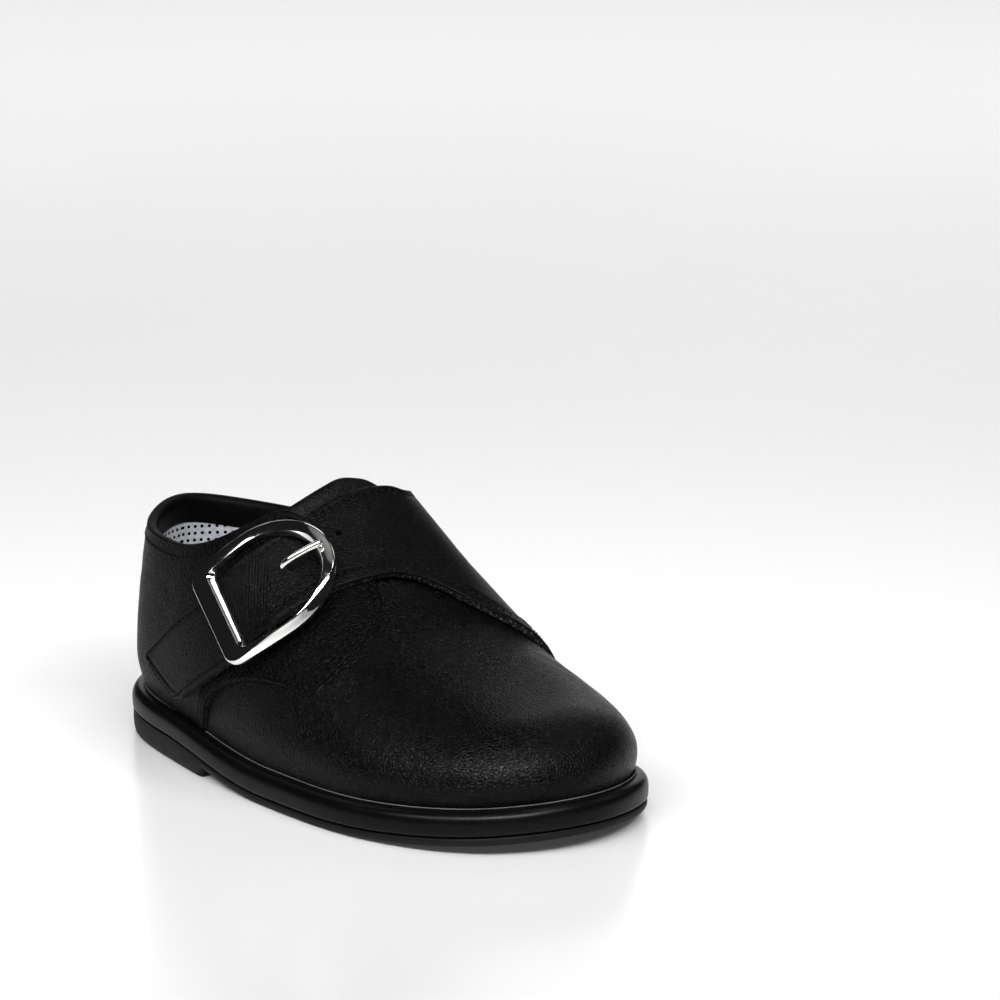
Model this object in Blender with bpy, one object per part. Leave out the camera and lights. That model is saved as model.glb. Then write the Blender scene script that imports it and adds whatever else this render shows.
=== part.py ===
"""Right-foot baby shoe: leather upper with a buckled strap on a moulded sole.

Frame: +X to the toe, -Y to the outer (lateral) side of the foot, +Z up.
Sizes are in millimetres and are scaled to metres when a mesh is made.
"""
import math

import bmesh
import bpy
import numpy as np

MM = 0.001

# ------------------------------------------------------------------ driving dimensions
SOLE_LENGTH = 142.0
HEEL_SEAT_Z, FORE_SEAT_Z = 9.8, 7.1      # top of the sole's rounded edge
HEEL_SEAM_Z, FORE_SEAM_Z = 5.1, 1.9      # seam between rounded edge and tread layer
TREAD_THICK = 1.9
TOE_SPRING, SPRING_FROM = 3.0, 22.0
WAIST_FROM, WAIST_TO = -34.0, 6.0        # where the heel's level runs down to the forefoot's
HEEL_BREAST, BREAST_RUN = -18.5, 0.8     # front face of the heel block
LIP_INSET, SEAT_DROP = 2.4, 1.2          # lip around the recess that the upper stands in
GAP = 0.3                                # clearance between neighbouring pieces
UPPER_INSET = 1.35                       # widest line of the upper, inside the sole's outline
FOOT_TUCK, TUCK_HEIGHT = 1.75, 9.0       # the upper draws in towards the sole
WALL = 1.8                               # leather and lining
INSOLE_THICK = 2.0
TONGUE_THICK = 1.5
STRAP_THICK = 1.6
BUCKLE_LENGTH, BUCKLE_THICK, BUCKLE_BEND = 30.3, 2.2, 73.0
BUCKLE_HALF_FLAT, BUCKLE_HALF_WIDE, BUCKLE_WIDE_AT = 11.4, 12.4, 14.9
BUCKLE_CORNER = 3.0
RIM_FLAT, RIM_SIDE, RIM_ROUND = 5.3, 2.7, 3.6
BAR_AT, BAR_RADIUS, BAR_DROP, BAR_LEAN = 17.0, 0.9, 3.05, 0.05
PRONG_ROOT, PRONG_TIP, PRONG_SIDE = 19.2, 28.6, 0.6
PRONG_RADIUS, PRONG_TIP_RADIUS, PRONG_HOLE = 0.95, 0.75, 1.6
BUCKLE_AT = (-0.67, -26.76, 43.10)       # middle of the frame
BUCKLE_ALONG = (0.5736, 0.5822, 0.5763)  # from the flat bar to the round end
BUCKLE_FACE = (0.3304, -0.8081, 0.4876)  # outward

STATIONS = 36                            # sole: points along each side
MERIDIANS, RISERS = 84, 12               # upper: round the shoe, and from sole to collar
CENTRE = (-27.0, -1.0, 14.0)             # the upper's meridians fan out from here

# ------------------------------------------------------------------ tables
SOLE_OUTLINE = [  # x, y
    (-71.0, 0.0), (-66.0, -11.6), (-56.0, -20.4), (-38.0, -26.6), (-12.0, -31.5), (14.0, -33.5),
    (34.0, -33.0), (51.0, -28.6), (64.0, -20.2), (71.0, 1.3), (65.3, 16.9), (55.2, 27.2),
    (36.0, 32.2), (14.0, 31.2), (-12.0, 23.4), (-38.0, 22.4), (-56.0, 20.0), (-66.0, 12.2)]
LAST_SECTIONS = [  # x, crest height, crest offset to the inner side, side exponent, top exponent
    (-72.0, 96.0, 0.0, 2.40, 2.00), (-45.0, 91.0, 0.5, 2.38, 2.00), (-30.0, 81.5, 1.2, 2.30, 2.00),
    (-20.0, 72.2, 1.9, 2.22, 2.00), (-12.0, 64.7, 2.5, 2.16, 2.00), (0.0, 53.9, 3.5, 2.18, 2.01),
    (12.0, 42.8, 4.2, 2.40, 2.05), (24.0, 34.0, 4.3, 2.70, 2.10), (36.0, 29.3, 3.5, 2.90, 2.13),
    (48.0, 26.2, 2.1, 2.95, 2.14), (58.0, 24.4, 0.8, 2.95, 2.13), (69.0, 23.4, 0.0, 2.95, 2.12)]
INNER_SIDE_EXTRA = 0.1                   # the inner side is a little squarer
TOE_ROUND_FROM, TOE_ROUND_POWER = 55.0, 2.2
HEEL_BACK = [  # height, how far the back of the heel stands forward there
    (8.0, 0.8), (16.0, 0.1), (26.0, 0.4), (36.0, 1.6), (44.0, 2.9), (52.0, 5.2), (60.0, 7.6)]
HEEL_BACK_REACH = 55.0
COLLAR = [  # bearing from the toe direction (inner side positive), height of the edge
    (-180.0, 45.6), (-163.0, 44.5), (-140.0, 43.7), (-122.0, 43.9), (-111.0, 44.2), (-97.0, 45.2),
    (-85.0, 46.6), (-69.5, 49.3), (-57.0, 52.0), (-49.0, 53.7), (-40.0, 54.9), (-30.0, 54.0),
    (-15.0, 50.6), (0.0, 49.2), (14.0, 51.2), (27.0, 54.9), (36.0, 55.4), (50.0, 53.0),
    (68.0, 49.0), (85.0, 45.9), (122.0, 42.8), (147.0, 42.9), (163.0, 44.2), (180.0, 45.6)]
STRAP = [  # rear edge x, girth; front edge x, girth; lift of the under side above the last
    (-39.0, 8.9, -30.5, 6.4, 1.50), (-40.6, 8.9, -25.8, 6.4, 1.50), (-38.6, 10.4, -22.4, 7.2, 1.50),
    (-29.0, 17.4, -15.4, 12.2, 1.50), (-20.1, 25.7, -8.2, 18.8, 1.65), (-14.6, 32.9, -2.5, 26.7, 2.30),
    (-9.6, 42.9, 2.6, 36.5, 3.55), (-6.0, 53.4, 5.9, 47.8, 3.25), (-4.6, 65.8, 8.1, 59.8, 1.80),
    (-4.3, 76.4, 10.1, 71.9, 1.20), (-4.0, 86.0, 11.5, 82.6, 0.90), (-3.7, 95.5, 14.6, 90.0, 0.70),
    (-3.6, 103.0, 19.2, 98.0, 0.50), (-6.6, 115.8, 23.4, 112.0, GAP), (-12.1, 128.4, 24.5, 129.0, GAP),
    (-15.5, 134.0, 23.8, 140.0, GAP)]
TONGUE = [  # station along the tongue, depth of its outer face under the last, half span of girth
    (20.0, 2.15, 30.0), (10.0, 2.15, 30.0), (0.0, 2.15, 28.0), (-4.0, 1.9, 26.0), (-8.0, 1.3, 24.0)]
TONGUE_MID, TONGUE_SLANT = 88.0, 0.07    # middle girth, and how the top edge runs to the inner side

# ------------------------------------------------------------------ curves


def spline(xs, ys, x):
    """Natural cubic through a table."""
    xs, ys = np.asarray(xs, float), np.asarray(ys, float)
    n, h = len(xs), np.diff(xs)
    a, r = np.eye(n), np.zeros(n)
    for i in range(1, n - 1):
        a[i, i - 1], a[i, i], a[i, i + 1] = h[i - 1], 2 * (h[i - 1] + h[i]), h[i]
        r[i] = 6 * ((ys[i + 1] - ys[i]) / h[i] - (ys[i] - ys[i - 1]) / h[i - 1])
    m = np.linalg.solve(a, r)
    x = np.clip(x, xs[0], xs[-1])
    k = np.clip(np.searchsorted(xs, x, side="right") - 1, 0, n - 2)
    u, w = (xs[k + 1] - x) / h[k], (x - xs[k]) / h[k]
    return u * ys[k] + w * ys[k + 1] + ((u**3 - u) * m[k] + (w**3 - w) * m[k + 1]) * h[k]**2 / 6


def column(table, k):
    return [row[k] for row in table]


def closed_spline(points, count):
    """Periodic cubic through a closed list of points."""
    p = np.asarray(points, float)
    m, q = len(p), np.vstack([p, p[:1]])
    h = np.hypot(*np.diff(q, axis=0).T)
    t = np.concatenate([[0], np.cumsum(h)])
    a, r = np.zeros((m, m)), np.zeros((m, 2))
    for i in range(m):
        b, c = h[i - 1], h[i]
        a[i, i - 1] += b
        a[i, i] += 2 * (b + c)
        a[i, (i + 1) % m] += c
        r[i] = 6 * ((q[i + 1] - q[i]) / c - (q[i] - p[i - 1]) / b)
    d = np.linalg.solve(a, r)
    d = np.vstack([d, d[:1]])
    s = np.linspace(0, t[-1], count, endpoint=False)
    k = np.clip(np.searchsorted(t, s, side="right") - 1, 0, m - 1)
    u, w = ((t[k + 1] - s) / h[k])[:, None], ((s - t[k]) / h[k])[:, None]
    return u * q[k] + w * q[k + 1] + ((u**3 - u) * d[k] + (w**3 - w) * d[k + 1]) * (h[k]**2)[:, None] / 6


def smooth(u):
    u = np.clip(u, 0, 1)
    return u * u * (3 - 2 * u)


# ------------------------------------------------------------------ sole lines
OUTLINE = closed_spline(SOLE_OUTLINE, 1440)


def inset_outline(depth):
    t = np.roll(OUTLINE, -1, 0) - np.roll(OUTLINE, 1, 0)
    t /= np.linalg.norm(t, axis=1)[:, None]
    return OUTLINE + depth * np.stack([-t[:, 1], t[:, 0]], 1)


def halves(outline):
    """Outer and inner edge of a closed outline, each from heel to toe."""
    o = np.roll(outline, -outline[:, 0].argmin(), 0)
    k = o[:, 0].argmax()
    a, b = o[:k + 1], np.vstack([o[k:], o[:1]])[::-1]
    return (a, b) if a[:, 1].mean() < b[:, 1].mean() else (b, a)


LAT, MED = halves(inset_outline(UPPER_INSET))
X0, X1 = LAT[0, 0], LAT[-1, 0]


def waist(x):
    return smooth((x - WAIST_FROM) / (WAIST_TO - WAIST_FROM))


def spring(x):
    return TOE_SPRING * np.clip((x - SPRING_FROM) / (SOLE_LENGTH / 2 - SPRING_FROM), 0, None)**2


def seat_z(x):
    return HEEL_SEAT_Z + (FORE_SEAT_Z - HEEL_SEAT_Z) * waist(x) + spring(x)


def seam_z(x):
    return HEEL_SEAM_Z + (FORE_SEAM_Z - HEEL_SEAM_Z) * waist(x) + spring(x)


def tread_z(x):
    """Underside: the heel block stands on the floor, then the waist rises and the forefoot is flat."""
    return (seam_z(x) - TREAD_THICK) * np.clip((x - HEEL_BREAST) / BREAST_RUN, 0, 1)


def foot_z(x):
    return seat_z(x) - SEAT_DROP + GAP


# ------------------------------------------------------------------ the last


def crest_z(x):
    z, b = spline(column(LAST_SECTIONS, 0), column(LAST_SECTIONS, 1), x), foot_z(x)
    u = np.clip((x - TOE_ROUND_FROM) / (X1 - TOE_ROUND_FROM), 0, 1)
    return b + (z - b) * np.clip(1 - u**TOE_ROUND_POWER, 1e-6, 1)**(1 / TOE_ROUND_POWER)


def section(x):
    sx = column(LAST_SECTIONS, 0)
    yl, ym = np.interp(x, LAT[:, 0], LAT[:, 1]), np.interp(x, MED[:, 0], MED[:, 1])
    yc = np.clip(spline(sx, column(LAST_SECTIONS, 2), x), yl + .35 * (ym - yl), ym - .35 * (ym - yl))
    return (yl, ym, yc, foot_z(x), crest_z(x),
            spline(sx, column(LAST_SECTIONS, 3), x), spline(sx, column(LAST_SECTIONS, 4), x))


def heel_shift(x, z):
    return (spline(column(HEEL_BACK, 0), column(HEEL_BACK, 1), z)
            * (1 - smooth((x - X0) / HEEL_BACK_REACH)))


def tuck(h):
    return FOOT_TUCK * (1 - np.clip(h / TUCK_HEIGHT, 0, 1))**2


def skin(x, girth):
    """Point of the last at section x: girth 0 is the outer foot line, 90 the crest, 180 the inner foot line."""
    x, g = np.broadcast_arrays(np.asarray(x, float), np.radians(np.asarray(girth, float)))
    yl, ym, yc, b, t, n, m = section(x)
    c, s = np.cos(g), np.sin(g)
    n = n + np.where(c > 0, 0, INNER_SIDE_EXTRA)
    w, rise = np.where(c > 0, yc - yl, ym - yc), (t - b) * np.abs(s)**(2 / m)
    k = tuck(rise)
    y = yc - np.sign(c) * w * np.abs(c)**(2 / n) / (1 + k / np.maximum(w, 1))
    z = b + rise
    return np.stack([(x + heel_shift(x, z)) / (1 + 2 * k / SOLE_LENGTH), y, z], -1)


def skin_normal(x, girth):
    x = np.clip(np.asarray(x, float), X0 + .3, X1 - .3)
    a, b = skin(x + .15, girth) - skin(x - .15, girth), skin(x, girth + .4) - skin(x, girth - .4)
    n = np.cross(a, b)
    n /= np.linalg.norm(n, axis=-1)[..., None]
    p = skin(x, girth)
    return np.where((n[..., 1] * p[..., 1] + n[..., 2] * (p[..., 2] - 20) < 0)[..., None], -n, n)


def beyond(x, y, z):
    """Positive outside the last, negative inside."""
    k = tuck(z - foot_z(x))
    x = x * (1 + 2 * k / SOLE_LENGTH)
    x = x - heel_shift(x, z)
    off = (x <= X0) | (x >= X1)
    yl, ym, yc, b, t, n, m = section(np.clip(x, X0 + 1e-3, X1 - 1e-3))
    n = n + np.where(y >= yc, INNER_SIDE_EXTRA, 0)
    w = np.maximum(np.where(y >= yc, ym - yc, yc - yl), 1e-3)
    v = (np.abs(y - yc) * (1 + k / np.maximum(w, 1)) / w)**n + np.clip((z - b) / (t - b), 0, None)**m - 1
    return np.where(off, 1 + np.abs(x), v)


# ------------------------------------------------------------------ meshes
COLOURS = {  # base colour, roughness, metallic
    "leather": ((0.012, 0.012, 0.013, 1), 0.48, 0), "rubber": ((0.010, 0.010, 0.011, 1), 0.30, 0),
    "tread": ((0.030, 0.030, 0.031, 1), 0.65, 0), "board": ((0.45, 0.46, 0.48, 1), 0.85, 0),
    "metal": ((0.80, 0.80, 0.80, 1), 0.12, 1)}
ROOT = None


def material(name):
    m = bpy.data.materials.get(name)
    if m is None:
        m = bpy.data.materials.new(name)
        m.use_nodes = True
        b = m.node_tree.nodes["Principled BSDF"]
        c, r, k = COLOURS[name.split("_")[0]]
        b.inputs["Base Color"].default_value = c
        b.inputs["Roughness"].default_value = r
        b.inputs["Metallic"].default_value = k
    return m


def solid(name, points, faces, finish, sharp=40):
    mesh = bpy.data.meshes.new(name)
    mesh.from_pydata([tuple(float(c) * MM for c in p) for p in points], [], faces)
    bm = bmesh.new()
    bm.from_mesh(mesh)
    bmesh.ops.recalc_face_normals(bm, faces=bm.faces)
    bm.to_mesh(mesh)
    bm.free()
    mesh.shade_smooth()
    mesh.set_sharp_from_angle(angle=math.radians(sharp))
    mesh.materials.append(material(finish + "_" + name))
    ob = bpy.data.objects.new(name, mesh)
    bpy.context.collection.objects.link(ob)
    ob.parent = ROOT
    return ob


def band(first, second, count, closed=True):
    """Quads between two rows of points that start at two indices."""
    return [(first + i, first + (i + 1) % count, second + (i + 1) % count, second + i)
            for i in range(count if closed else count - 1)]


def ring_at(depth, stations):
    """Closed ring of an inset outline with the same x stations on both sides, heel tip first."""
    lat, med = halves(inset_outline(depth))
    a = [(x, np.interp(x, lat[:, 0], lat[:, 1])) for x in stations if lat[0, 0] < x < lat[-1, 0]]
    b = [(x, np.interp(x, med[:, 0], med[:, 1])) for x in stations if lat[0, 0] < x < lat[-1, 0]]
    return np.array([tuple(lat[0])] + a + [tuple(lat[-1])] + b[::-1])


def ring(depth, extra=()):
    """Inset outline with cosine spaced stations, and extra stations at given x."""
    lat, _ = halves(inset_outline(depth))
    a, b = lat[0, 0], lat[-1, 0]
    t = (1 - np.cos(np.linspace(0, math.pi, STATIONS + 1)[1:-1])) / 2
    xs = a + (b - a) * t
    for e in extra:
        xs[np.abs(xs - e).argmin()] = e
    return ring_at(depth, np.sort(xs))


def cap(first, count, flip=False):
    """Quads straight across a ring, from the outer side to the inner side."""
    half, faces = count // 2, []
    for i in range(half):
        a, b = i, i + 1
        c, d = (count - b) % count, (count - a) % count
        f = [first + k for k in (a, b, c, d)]
        f = [v for j, v in enumerate(f) if v not in f[:j]]
        faces.append(tuple(f[::-1] if flip else f))
    return faces


def lofted(name, rows, finish, sharp=40, extra=()):
    """Closed solid through inset outlines: rows of (inset, height function), from the underside up."""
    points, faces, n = [], [], None
    for depth, z in rows:
        r = ring(depth, extra)
        n = len(r)
        points += [(x, y, float(z(np.float64(x)))) for x, y in r]
    for k in range(len(rows) - 1):
        faces += band(k * n, (k + 1) * n, n)
    faces += cap(0, n, True) + cap((len(rows) - 1) * n, n)
    return solid(name, points, faces, finish, sharp)


def shell(name, outer, inner, finish, sharp=40, closed=False):
    """Closed solid between two grids of points [rows][columns]."""
    r, c = outer.shape[:2]
    points = np.concatenate([outer.reshape(-1, 3), inner.reshape(-1, 3)])
    o, faces = r * c, []
    at = lambda k, i, j: k * o + (i % r) * c + j
    for i in range(r if closed else r - 1):
        for j in range(c - 1):
            faces.append((at(0, i, j), at(0, i, j + 1), at(0, i + 1, j + 1), at(0, i + 1, j)))
            faces.append((at(1, i, j), at(1, i + 1, j), at(1, i + 1, j + 1), at(1, i, j + 1)))
        for j in (0, c - 1):
            faces.append((at(0, i, j), at(0, i + 1, j), at(1, i + 1, j), at(1, i, j)))
    if not closed:
        for i in (0, r - 1):
            for j in range(c - 1):
                faces.append((at(0, i, j), at(1, i, j), at(1, i, j + 1), at(0, i, j + 1)))
    return solid(name, points, faces, finish, sharp)


# ------------------------------------------------------------------ sole pieces


def make_outsole():
    return lofted("outsole", [
        (1.3, tread_z), (0.6, lambda x: tread_z(x) + .5 * (seam_z(x) - GAP / 2 - tread_z(x))),
        (0.9, lambda x: seam_z(x) - GAP / 2)], "tread", 30, (HEEL_BREAST, HEEL_BREAST + BREAST_RUN))


def make_midsole():
    def level(u):
        return lambda x: seam_z(x) + GAP / 2 + u * (seat_z(x) - seam_z(x) - GAP / 2)
    return lofted("midsole", [
        (0.9, level(0)), (0.25, level(.14)), (0.0, level(.42)), (0.2, level(.68)), (0.75, level(.88)),
        (1.6, level(1.0)), (LIP_INSET, level(.97)), (LIP_INSET, lambda x: seat_z(x) - SEAT_DROP)],
        "rubber", 60)


def make_insole():
    inset = UPPER_INSET + FOOT_TUCK + WALL + 3 * GAP
    base = lambda x: foot_z(x)
    return lofted("insole", [(inset, base), (inset - .1, lambda x: base(x) + .8 * INSOLE_THICK),
                             (inset + .4, lambda x: base(x) + INSOLE_THICK)], "board", 50)


# ------------------------------------------------------------------ upper


def collar_height(bearing):
    t = [(b - 360, h) for b, h in COLLAR[-5:-1]] + COLLAR + [(b + 360, h) for b, h in COLLAR[1:5]]
    return spline(column(t, 0), column(t, 1), bearing)


def meridians(count, risers):
    """Grid of points on the last, from the sole to the collar edge, one column of points per meridian."""
    foot = inset_outline(UPPER_INSET + FOOT_TUCK)
    run = np.concatenate([[0], np.cumsum(np.hypot(*np.diff(np.vstack([foot, foot[:1]]), axis=0).T))])
    at = np.linspace(0, run[-1], count, endpoint=False)
    px = np.interp(at, run, np.append(foot[:, 0], foot[0, 0]))
    py = np.interp(at, run, np.append(foot[:, 1], foot[0, 1]))
    bearing = np.arctan2(py - CENTRE[1], px - CENTRE[0])
    tilt = np.radians(np.linspace(-32, 74, 150))
    d = np.stack([np.cos(bearing)[:, None] * np.cos(tilt), np.sin(bearing)[:, None] * np.cos(tilt),
                  np.broadcast_to(np.sin(tilt), (count, len(tilt)))], -1)
    low, high = np.zeros(d.shape[:2]), np.full(d.shape[:2], 150.0)
    for _ in range(34):
        mid = (low + high) / 2
        p = np.asarray(CENTRE) + mid[..., None] * d
        out = beyond(p[..., 0], p[..., 1], p[..., 2]) > 0
        low, high = np.where(out, low, mid), np.where(out, mid, high)
    hit = np.asarray(CENTRE) + low[..., None] * d
    top = collar_height(np.degrees(bearing))
    grid = np.zeros((count, risers + 1, 3))
    for i in range(count):
        p = hit[i]
        above = p[:, 2] - foot_z(p[:, 0])
        a = np.argmax(above > 0)
        s = above[a] / (above[a] - above[a - 1])
        start = p[a] + s * (p[a - 1] - p[a])
        b = np.argmax(p[:, 2] > top[i])
        s = (top[i] - p[b - 1, 2]) / (p[b, 2] - p[b - 1, 2])
        end = p[b - 1] + s * (p[b] - p[b - 1])
        line = np.vstack([start, p[a:b], end])
        length = np.concatenate([[0], np.cumsum(np.linalg.norm(np.diff(line, axis=0), axis=1))])
        share = np.linspace(0, 1, risers + 1)**(1 + .35 * smooth((length[-1] - 45) / 40))
        grid[i] = np.stack([np.interp(share * length[-1], length, line[:, k]) for k in range(3)], 1)
    return grid


def grid_normals(grid):
    """Outward normals of a grid that closes on itself along its first index."""
    a = np.roll(grid, -1, 0) - np.roll(grid, 1, 0)
    b = np.gradient(grid, axis=1)
    n = np.cross(a, b)
    n /= np.linalg.norm(n, axis=-1)[..., None]
    out = (n * (grid - np.asarray(CENTRE))).sum(-1)
    return np.where(out[..., None] < 0, -n, n)


def make_upper():
    outer = meridians(MERIDIANS, RISERS)
    n = grid_normals(outer)
    inner = outer - WALL * n
    inner[:, 0, 2] = outer[:, 0, 2]
    return shell("upper", outer, inner, "leather", 50, closed=True)


def make_tongue():
    rows, cols = 15, 11
    outer, inner = np.zeros((rows, cols, 3)), np.zeros((rows, cols, 3))
    st = column(TONGUE, 0)[::-1]
    for i, t in enumerate(np.linspace(0, 1, rows)):
        x = st[-1] + (st[0] - st[-1]) * t
        depth = spline(st, column(TONGUE, 1)[::-1], x)
        half = spline(st, column(TONGUE, 2)[::-1], x)
        g = TONGUE_MID + half * np.linspace(-1, 1, cols)
        xs = x + t * TONGUE_SLANT * (g - TONGUE_MID)
        edge = np.linspace(-1, 1, cols)**2
        sink = depth + (2.15 - depth) * edge
        p, n = skin(xs, g), skin_normal(xs, g)
        outer[i], inner[i] = p - sink[:, None] * n, p - (sink + TONGUE_THICK)[:, None] * n
    return shell("tongue", outer, inner, "leather")


# ------------------------------------------------------------------ strap and buckle


def strap_point(t, across):
    """Foot point, outward normal and lift of the strap: t runs over the table's rows, across from rear to front."""
    k = np.arange(len(STRAP))
    rx, rg, fx, fg, lift = [spline(k, column(STRAP, c), t) for c in range(5)]
    x, g = rx + (fx - rx) * across, rg + (fg - rg) * across
    return skin(x, g), skin_normal(x, g), lift


def make_strap():
    rows, cols = 52, 8
    t = np.linspace(0, len(STRAP) - 1, rows)[:, None]
    p, n, lift = strap_point(t, np.linspace(0, 1, cols)[None])
    inner = p + lift[..., None] * n
    return shell("strap", inner + STRAP_THICK * n, inner, "leather")


def buckle_axes():
    a, f = np.asarray(BUCKLE_ALONG), np.asarray(BUCKLE_FACE)
    a, f = a / np.linalg.norm(a), f / np.linalg.norm(f)
    f = f - a * (f @ a)
    f /= np.linalg.norm(f)
    return a, np.cross(f, a), f


def on_buckle(along, side, height):
    """World point from the frame's own measures; the frame is bent along its length."""
    a, w, f = buckle_axes()
    along, side, height = [np.asarray(v, float) for v in (along, side, height)]
    turn = (along - BUCKLE_LENGTH / 2 + 1.15) / BUCKLE_BEND
    reach = BUCKLE_BEND + height
    return (np.asarray(BUCKLE_AT) + (reach * np.sin(turn))[..., None] * a + side[..., None] * w
            + (reach * np.cos(turn) - BUCKLE_BEND)[..., None] * f)


def buckle_loop(length, flat, wide, wide_at, corner, count=13):
    """Outline with a flat end at 0 and a round end at length."""
    t = np.linspace(0, 1, count)
    a = np.linspace(0, math.pi / 2, count)[1:]
    first = corner * (1 - np.cos(np.linspace(0, math.pi / 2, 5)))[:-1]
    l1 = np.concatenate([first, corner + (wide_at - corner) * t])
    w1 = flat + (wide - flat) * np.sin(l1 / wide_at * math.pi / 2)
    w1 = w1 - np.where(l1 < corner, corner - np.sqrt(np.maximum(corner**2 - (corner - l1)**2, 0)), 0)
    l, w = np.concatenate([l1, wide_at + (length - wide_at) * np.sin(a)]), np.concatenate([w1, wide * np.cos(a)])
    return np.concatenate([np.stack([l, w], 1), np.stack([l, -w], 1)[-2::-1]])


def tube(path, radii, sides=10):
    """Points and faces of a capped tube along a path."""
    path = np.asarray(path, float)
    tan = np.gradient(path, axis=0)
    tan /= np.linalg.norm(tan, axis=1)[:, None]
    up = np.cross(tan[0], (0.3, 0.9, 0.2))
    points, faces = [], []
    for p, d, r in zip(path, tan, radii):
        up = up - d * (up @ d)
        up /= np.linalg.norm(up)
        side = np.cross(d, up)
        ang = np.linspace(0, 2 * math.pi, sides, endpoint=False)
        points += list(p + r * (np.cos(ang)[:, None] * up + np.sin(ang)[:, None] * side))
    for k in range(len(path) - 1):
        faces += band(k * sides, (k + 1) * sides, sides)
    faces += [tuple(range(sides))[::-1], tuple(range((len(path) - 1) * sides, len(path) * sides))]
    return points, faces


def make_buckle_frame():
    out = buckle_loop(BUCKLE_LENGTH, BUCKLE_HALF_FLAT, BUCKLE_HALF_WIDE, BUCKLE_WIDE_AT, BUCKLE_CORNER)
    ins = buckle_loop(BUCKLE_LENGTH - RIM_FLAT - RIM_ROUND, BUCKLE_HALF_FLAT - RIM_SIDE + .3,
                      BUCKLE_HALF_WIDE - RIM_SIDE, BUCKLE_WIDE_AT - RIM_FLAT, 1.4)
    ins[:, 0] += RIM_FLAT
    n, h = len(out), BUCKLE_THICK / 2
    points, faces = [], []
    for share, height in ((0, -h), (0, .15 * h), (.3, h), (.7, h), (1, .15 * h), (1, -h)):
        m = out + share * (ins - out)
        points += list(on_buckle(m[:, 0], m[:, 1], np.full(n, height)))
    for k in range(6):
        faces += band(k * n, ((k + 1) % 6) * n, n)
    frame = solid("buckle_frame", points, faces, "metal", 25)
    side = np.array([-11.3, -10.6, -9.6, -8.4, -4.0, 0.0, 4.0, 8.4, 9.6, 10.6, 11.3])
    drop = -.2 - (BAR_DROP + BAR_LEAN * side - .2) * smooth((11.6 - np.abs(side)) / 3.0)
    points, faces = tube(on_buckle(np.full(len(side), BAR_AT), side, drop), [BAR_RADIUS] * len(side))
    bar = solid("buckle_bar", points, faces, "metal")
    join = frame.modifiers.new("crossbar", "BOOLEAN")
    join.operation, join.object, join.solver = "UNION", bar, "EXACT"
    hide_cutter(bar)
    return frame


def hide_cutter(ob):
    ob.hide_render = True
    ob.display_type = "WIRE"


def make_prong():
    rise = 1.1 + GAP + PRONG_TIP_RADIUS
    route = [(PRONG_ROOT, -BAR_DROP), (PRONG_ROOT + .05, -1.2), (PRONG_ROOT + .3, .3), (PRONG_ROOT + 1.1, 1.5),
             (PRONG_ROOT + 2.6, 2.05), (PRONG_ROOT + 5.0, rise + .05), (PRONG_TIP - 1.2, rise), (PRONG_TIP, rise - .05)]
    along, height = np.array(column(route, 0)), np.array(column(route, 1))
    radii = np.linspace(PRONG_RADIUS - .15, PRONG_TIP_RADIUS, len(route))
    points, faces = tube(on_buckle(along, np.full(len(route), PRONG_SIDE), height), radii)
    return solid("buckle_prong", points, faces, "metal")


def punch_strap(strap):
    points, faces = tube(on_buckle(np.full(2, PRONG_ROOT + .35), np.full(2, PRONG_SIDE), np.array([-6.0, 5.0])),
                         [PRONG_HOLE] * 2, 12)
    cutter = solid("prong_hole", points, faces, "leather")
    cut = strap.modifiers.new("prong hole", "BOOLEAN")
    cut.operation, cut.object, cut.solver = "DIFFERENCE", cutter, "EXACT"
    hide_cutter(cutter)


# ------------------------------------------------------------------ assembly


def main():
    global ROOT
    for ob in list(bpy.data.objects):
        bpy.data.objects.remove(ob, do_unlink=True)
    ROOT = bpy.data.objects.new("shoe", None)
    bpy.context.collection.objects.link(ROOT)
    make_outsole()
    make_midsole()
    make_insole()
    make_upper()
    make_tongue()
    strap = make_strap()
    frame = make_buckle_frame()
    make_prong()
    punch_strap(strap)
    # the origin is under the middle of the whole shoe
    shown = [o for o in bpy.data.objects if o.type == "MESH" and not o.hide_render]
    v = np.concatenate([np.array([tuple(p.co) for p in o.data.vertices]) for o in shown])
    low, high = v.min(0), v.max(0)
    ROOT.location = (-(low[0] + high[0]) / 2, -(low[1] + high[1]) / 2, -low[2])


main()
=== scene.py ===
"""Looks of the right-foot baby shoe: leather panels, stitches, buckle, moulded sole and lining.

Frame: +X to the toe, -Y to the outer side of the foot, +Z up. Sizes are in millimetres.
"""
import math

import bmesh
import bpy
import numpy as np
from mathutils import Matrix, Vector

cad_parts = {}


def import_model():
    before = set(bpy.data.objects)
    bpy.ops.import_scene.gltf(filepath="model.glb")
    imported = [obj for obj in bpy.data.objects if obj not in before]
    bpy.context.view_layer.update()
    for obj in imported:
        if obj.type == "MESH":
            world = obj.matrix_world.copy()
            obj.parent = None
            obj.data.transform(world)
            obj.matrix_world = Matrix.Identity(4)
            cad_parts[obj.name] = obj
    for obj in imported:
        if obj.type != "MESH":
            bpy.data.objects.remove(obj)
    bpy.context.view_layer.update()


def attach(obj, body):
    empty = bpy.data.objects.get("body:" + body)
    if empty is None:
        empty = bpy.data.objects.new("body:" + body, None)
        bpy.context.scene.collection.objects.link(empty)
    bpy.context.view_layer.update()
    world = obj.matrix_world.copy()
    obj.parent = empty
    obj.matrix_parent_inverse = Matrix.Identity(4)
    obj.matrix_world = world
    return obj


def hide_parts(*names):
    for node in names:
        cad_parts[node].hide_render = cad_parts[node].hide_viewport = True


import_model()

MM = 0.001
SHIFT = np.array([-0.045, 1.147, 0.0])   # from the last's own frame to the part's frame

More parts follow.
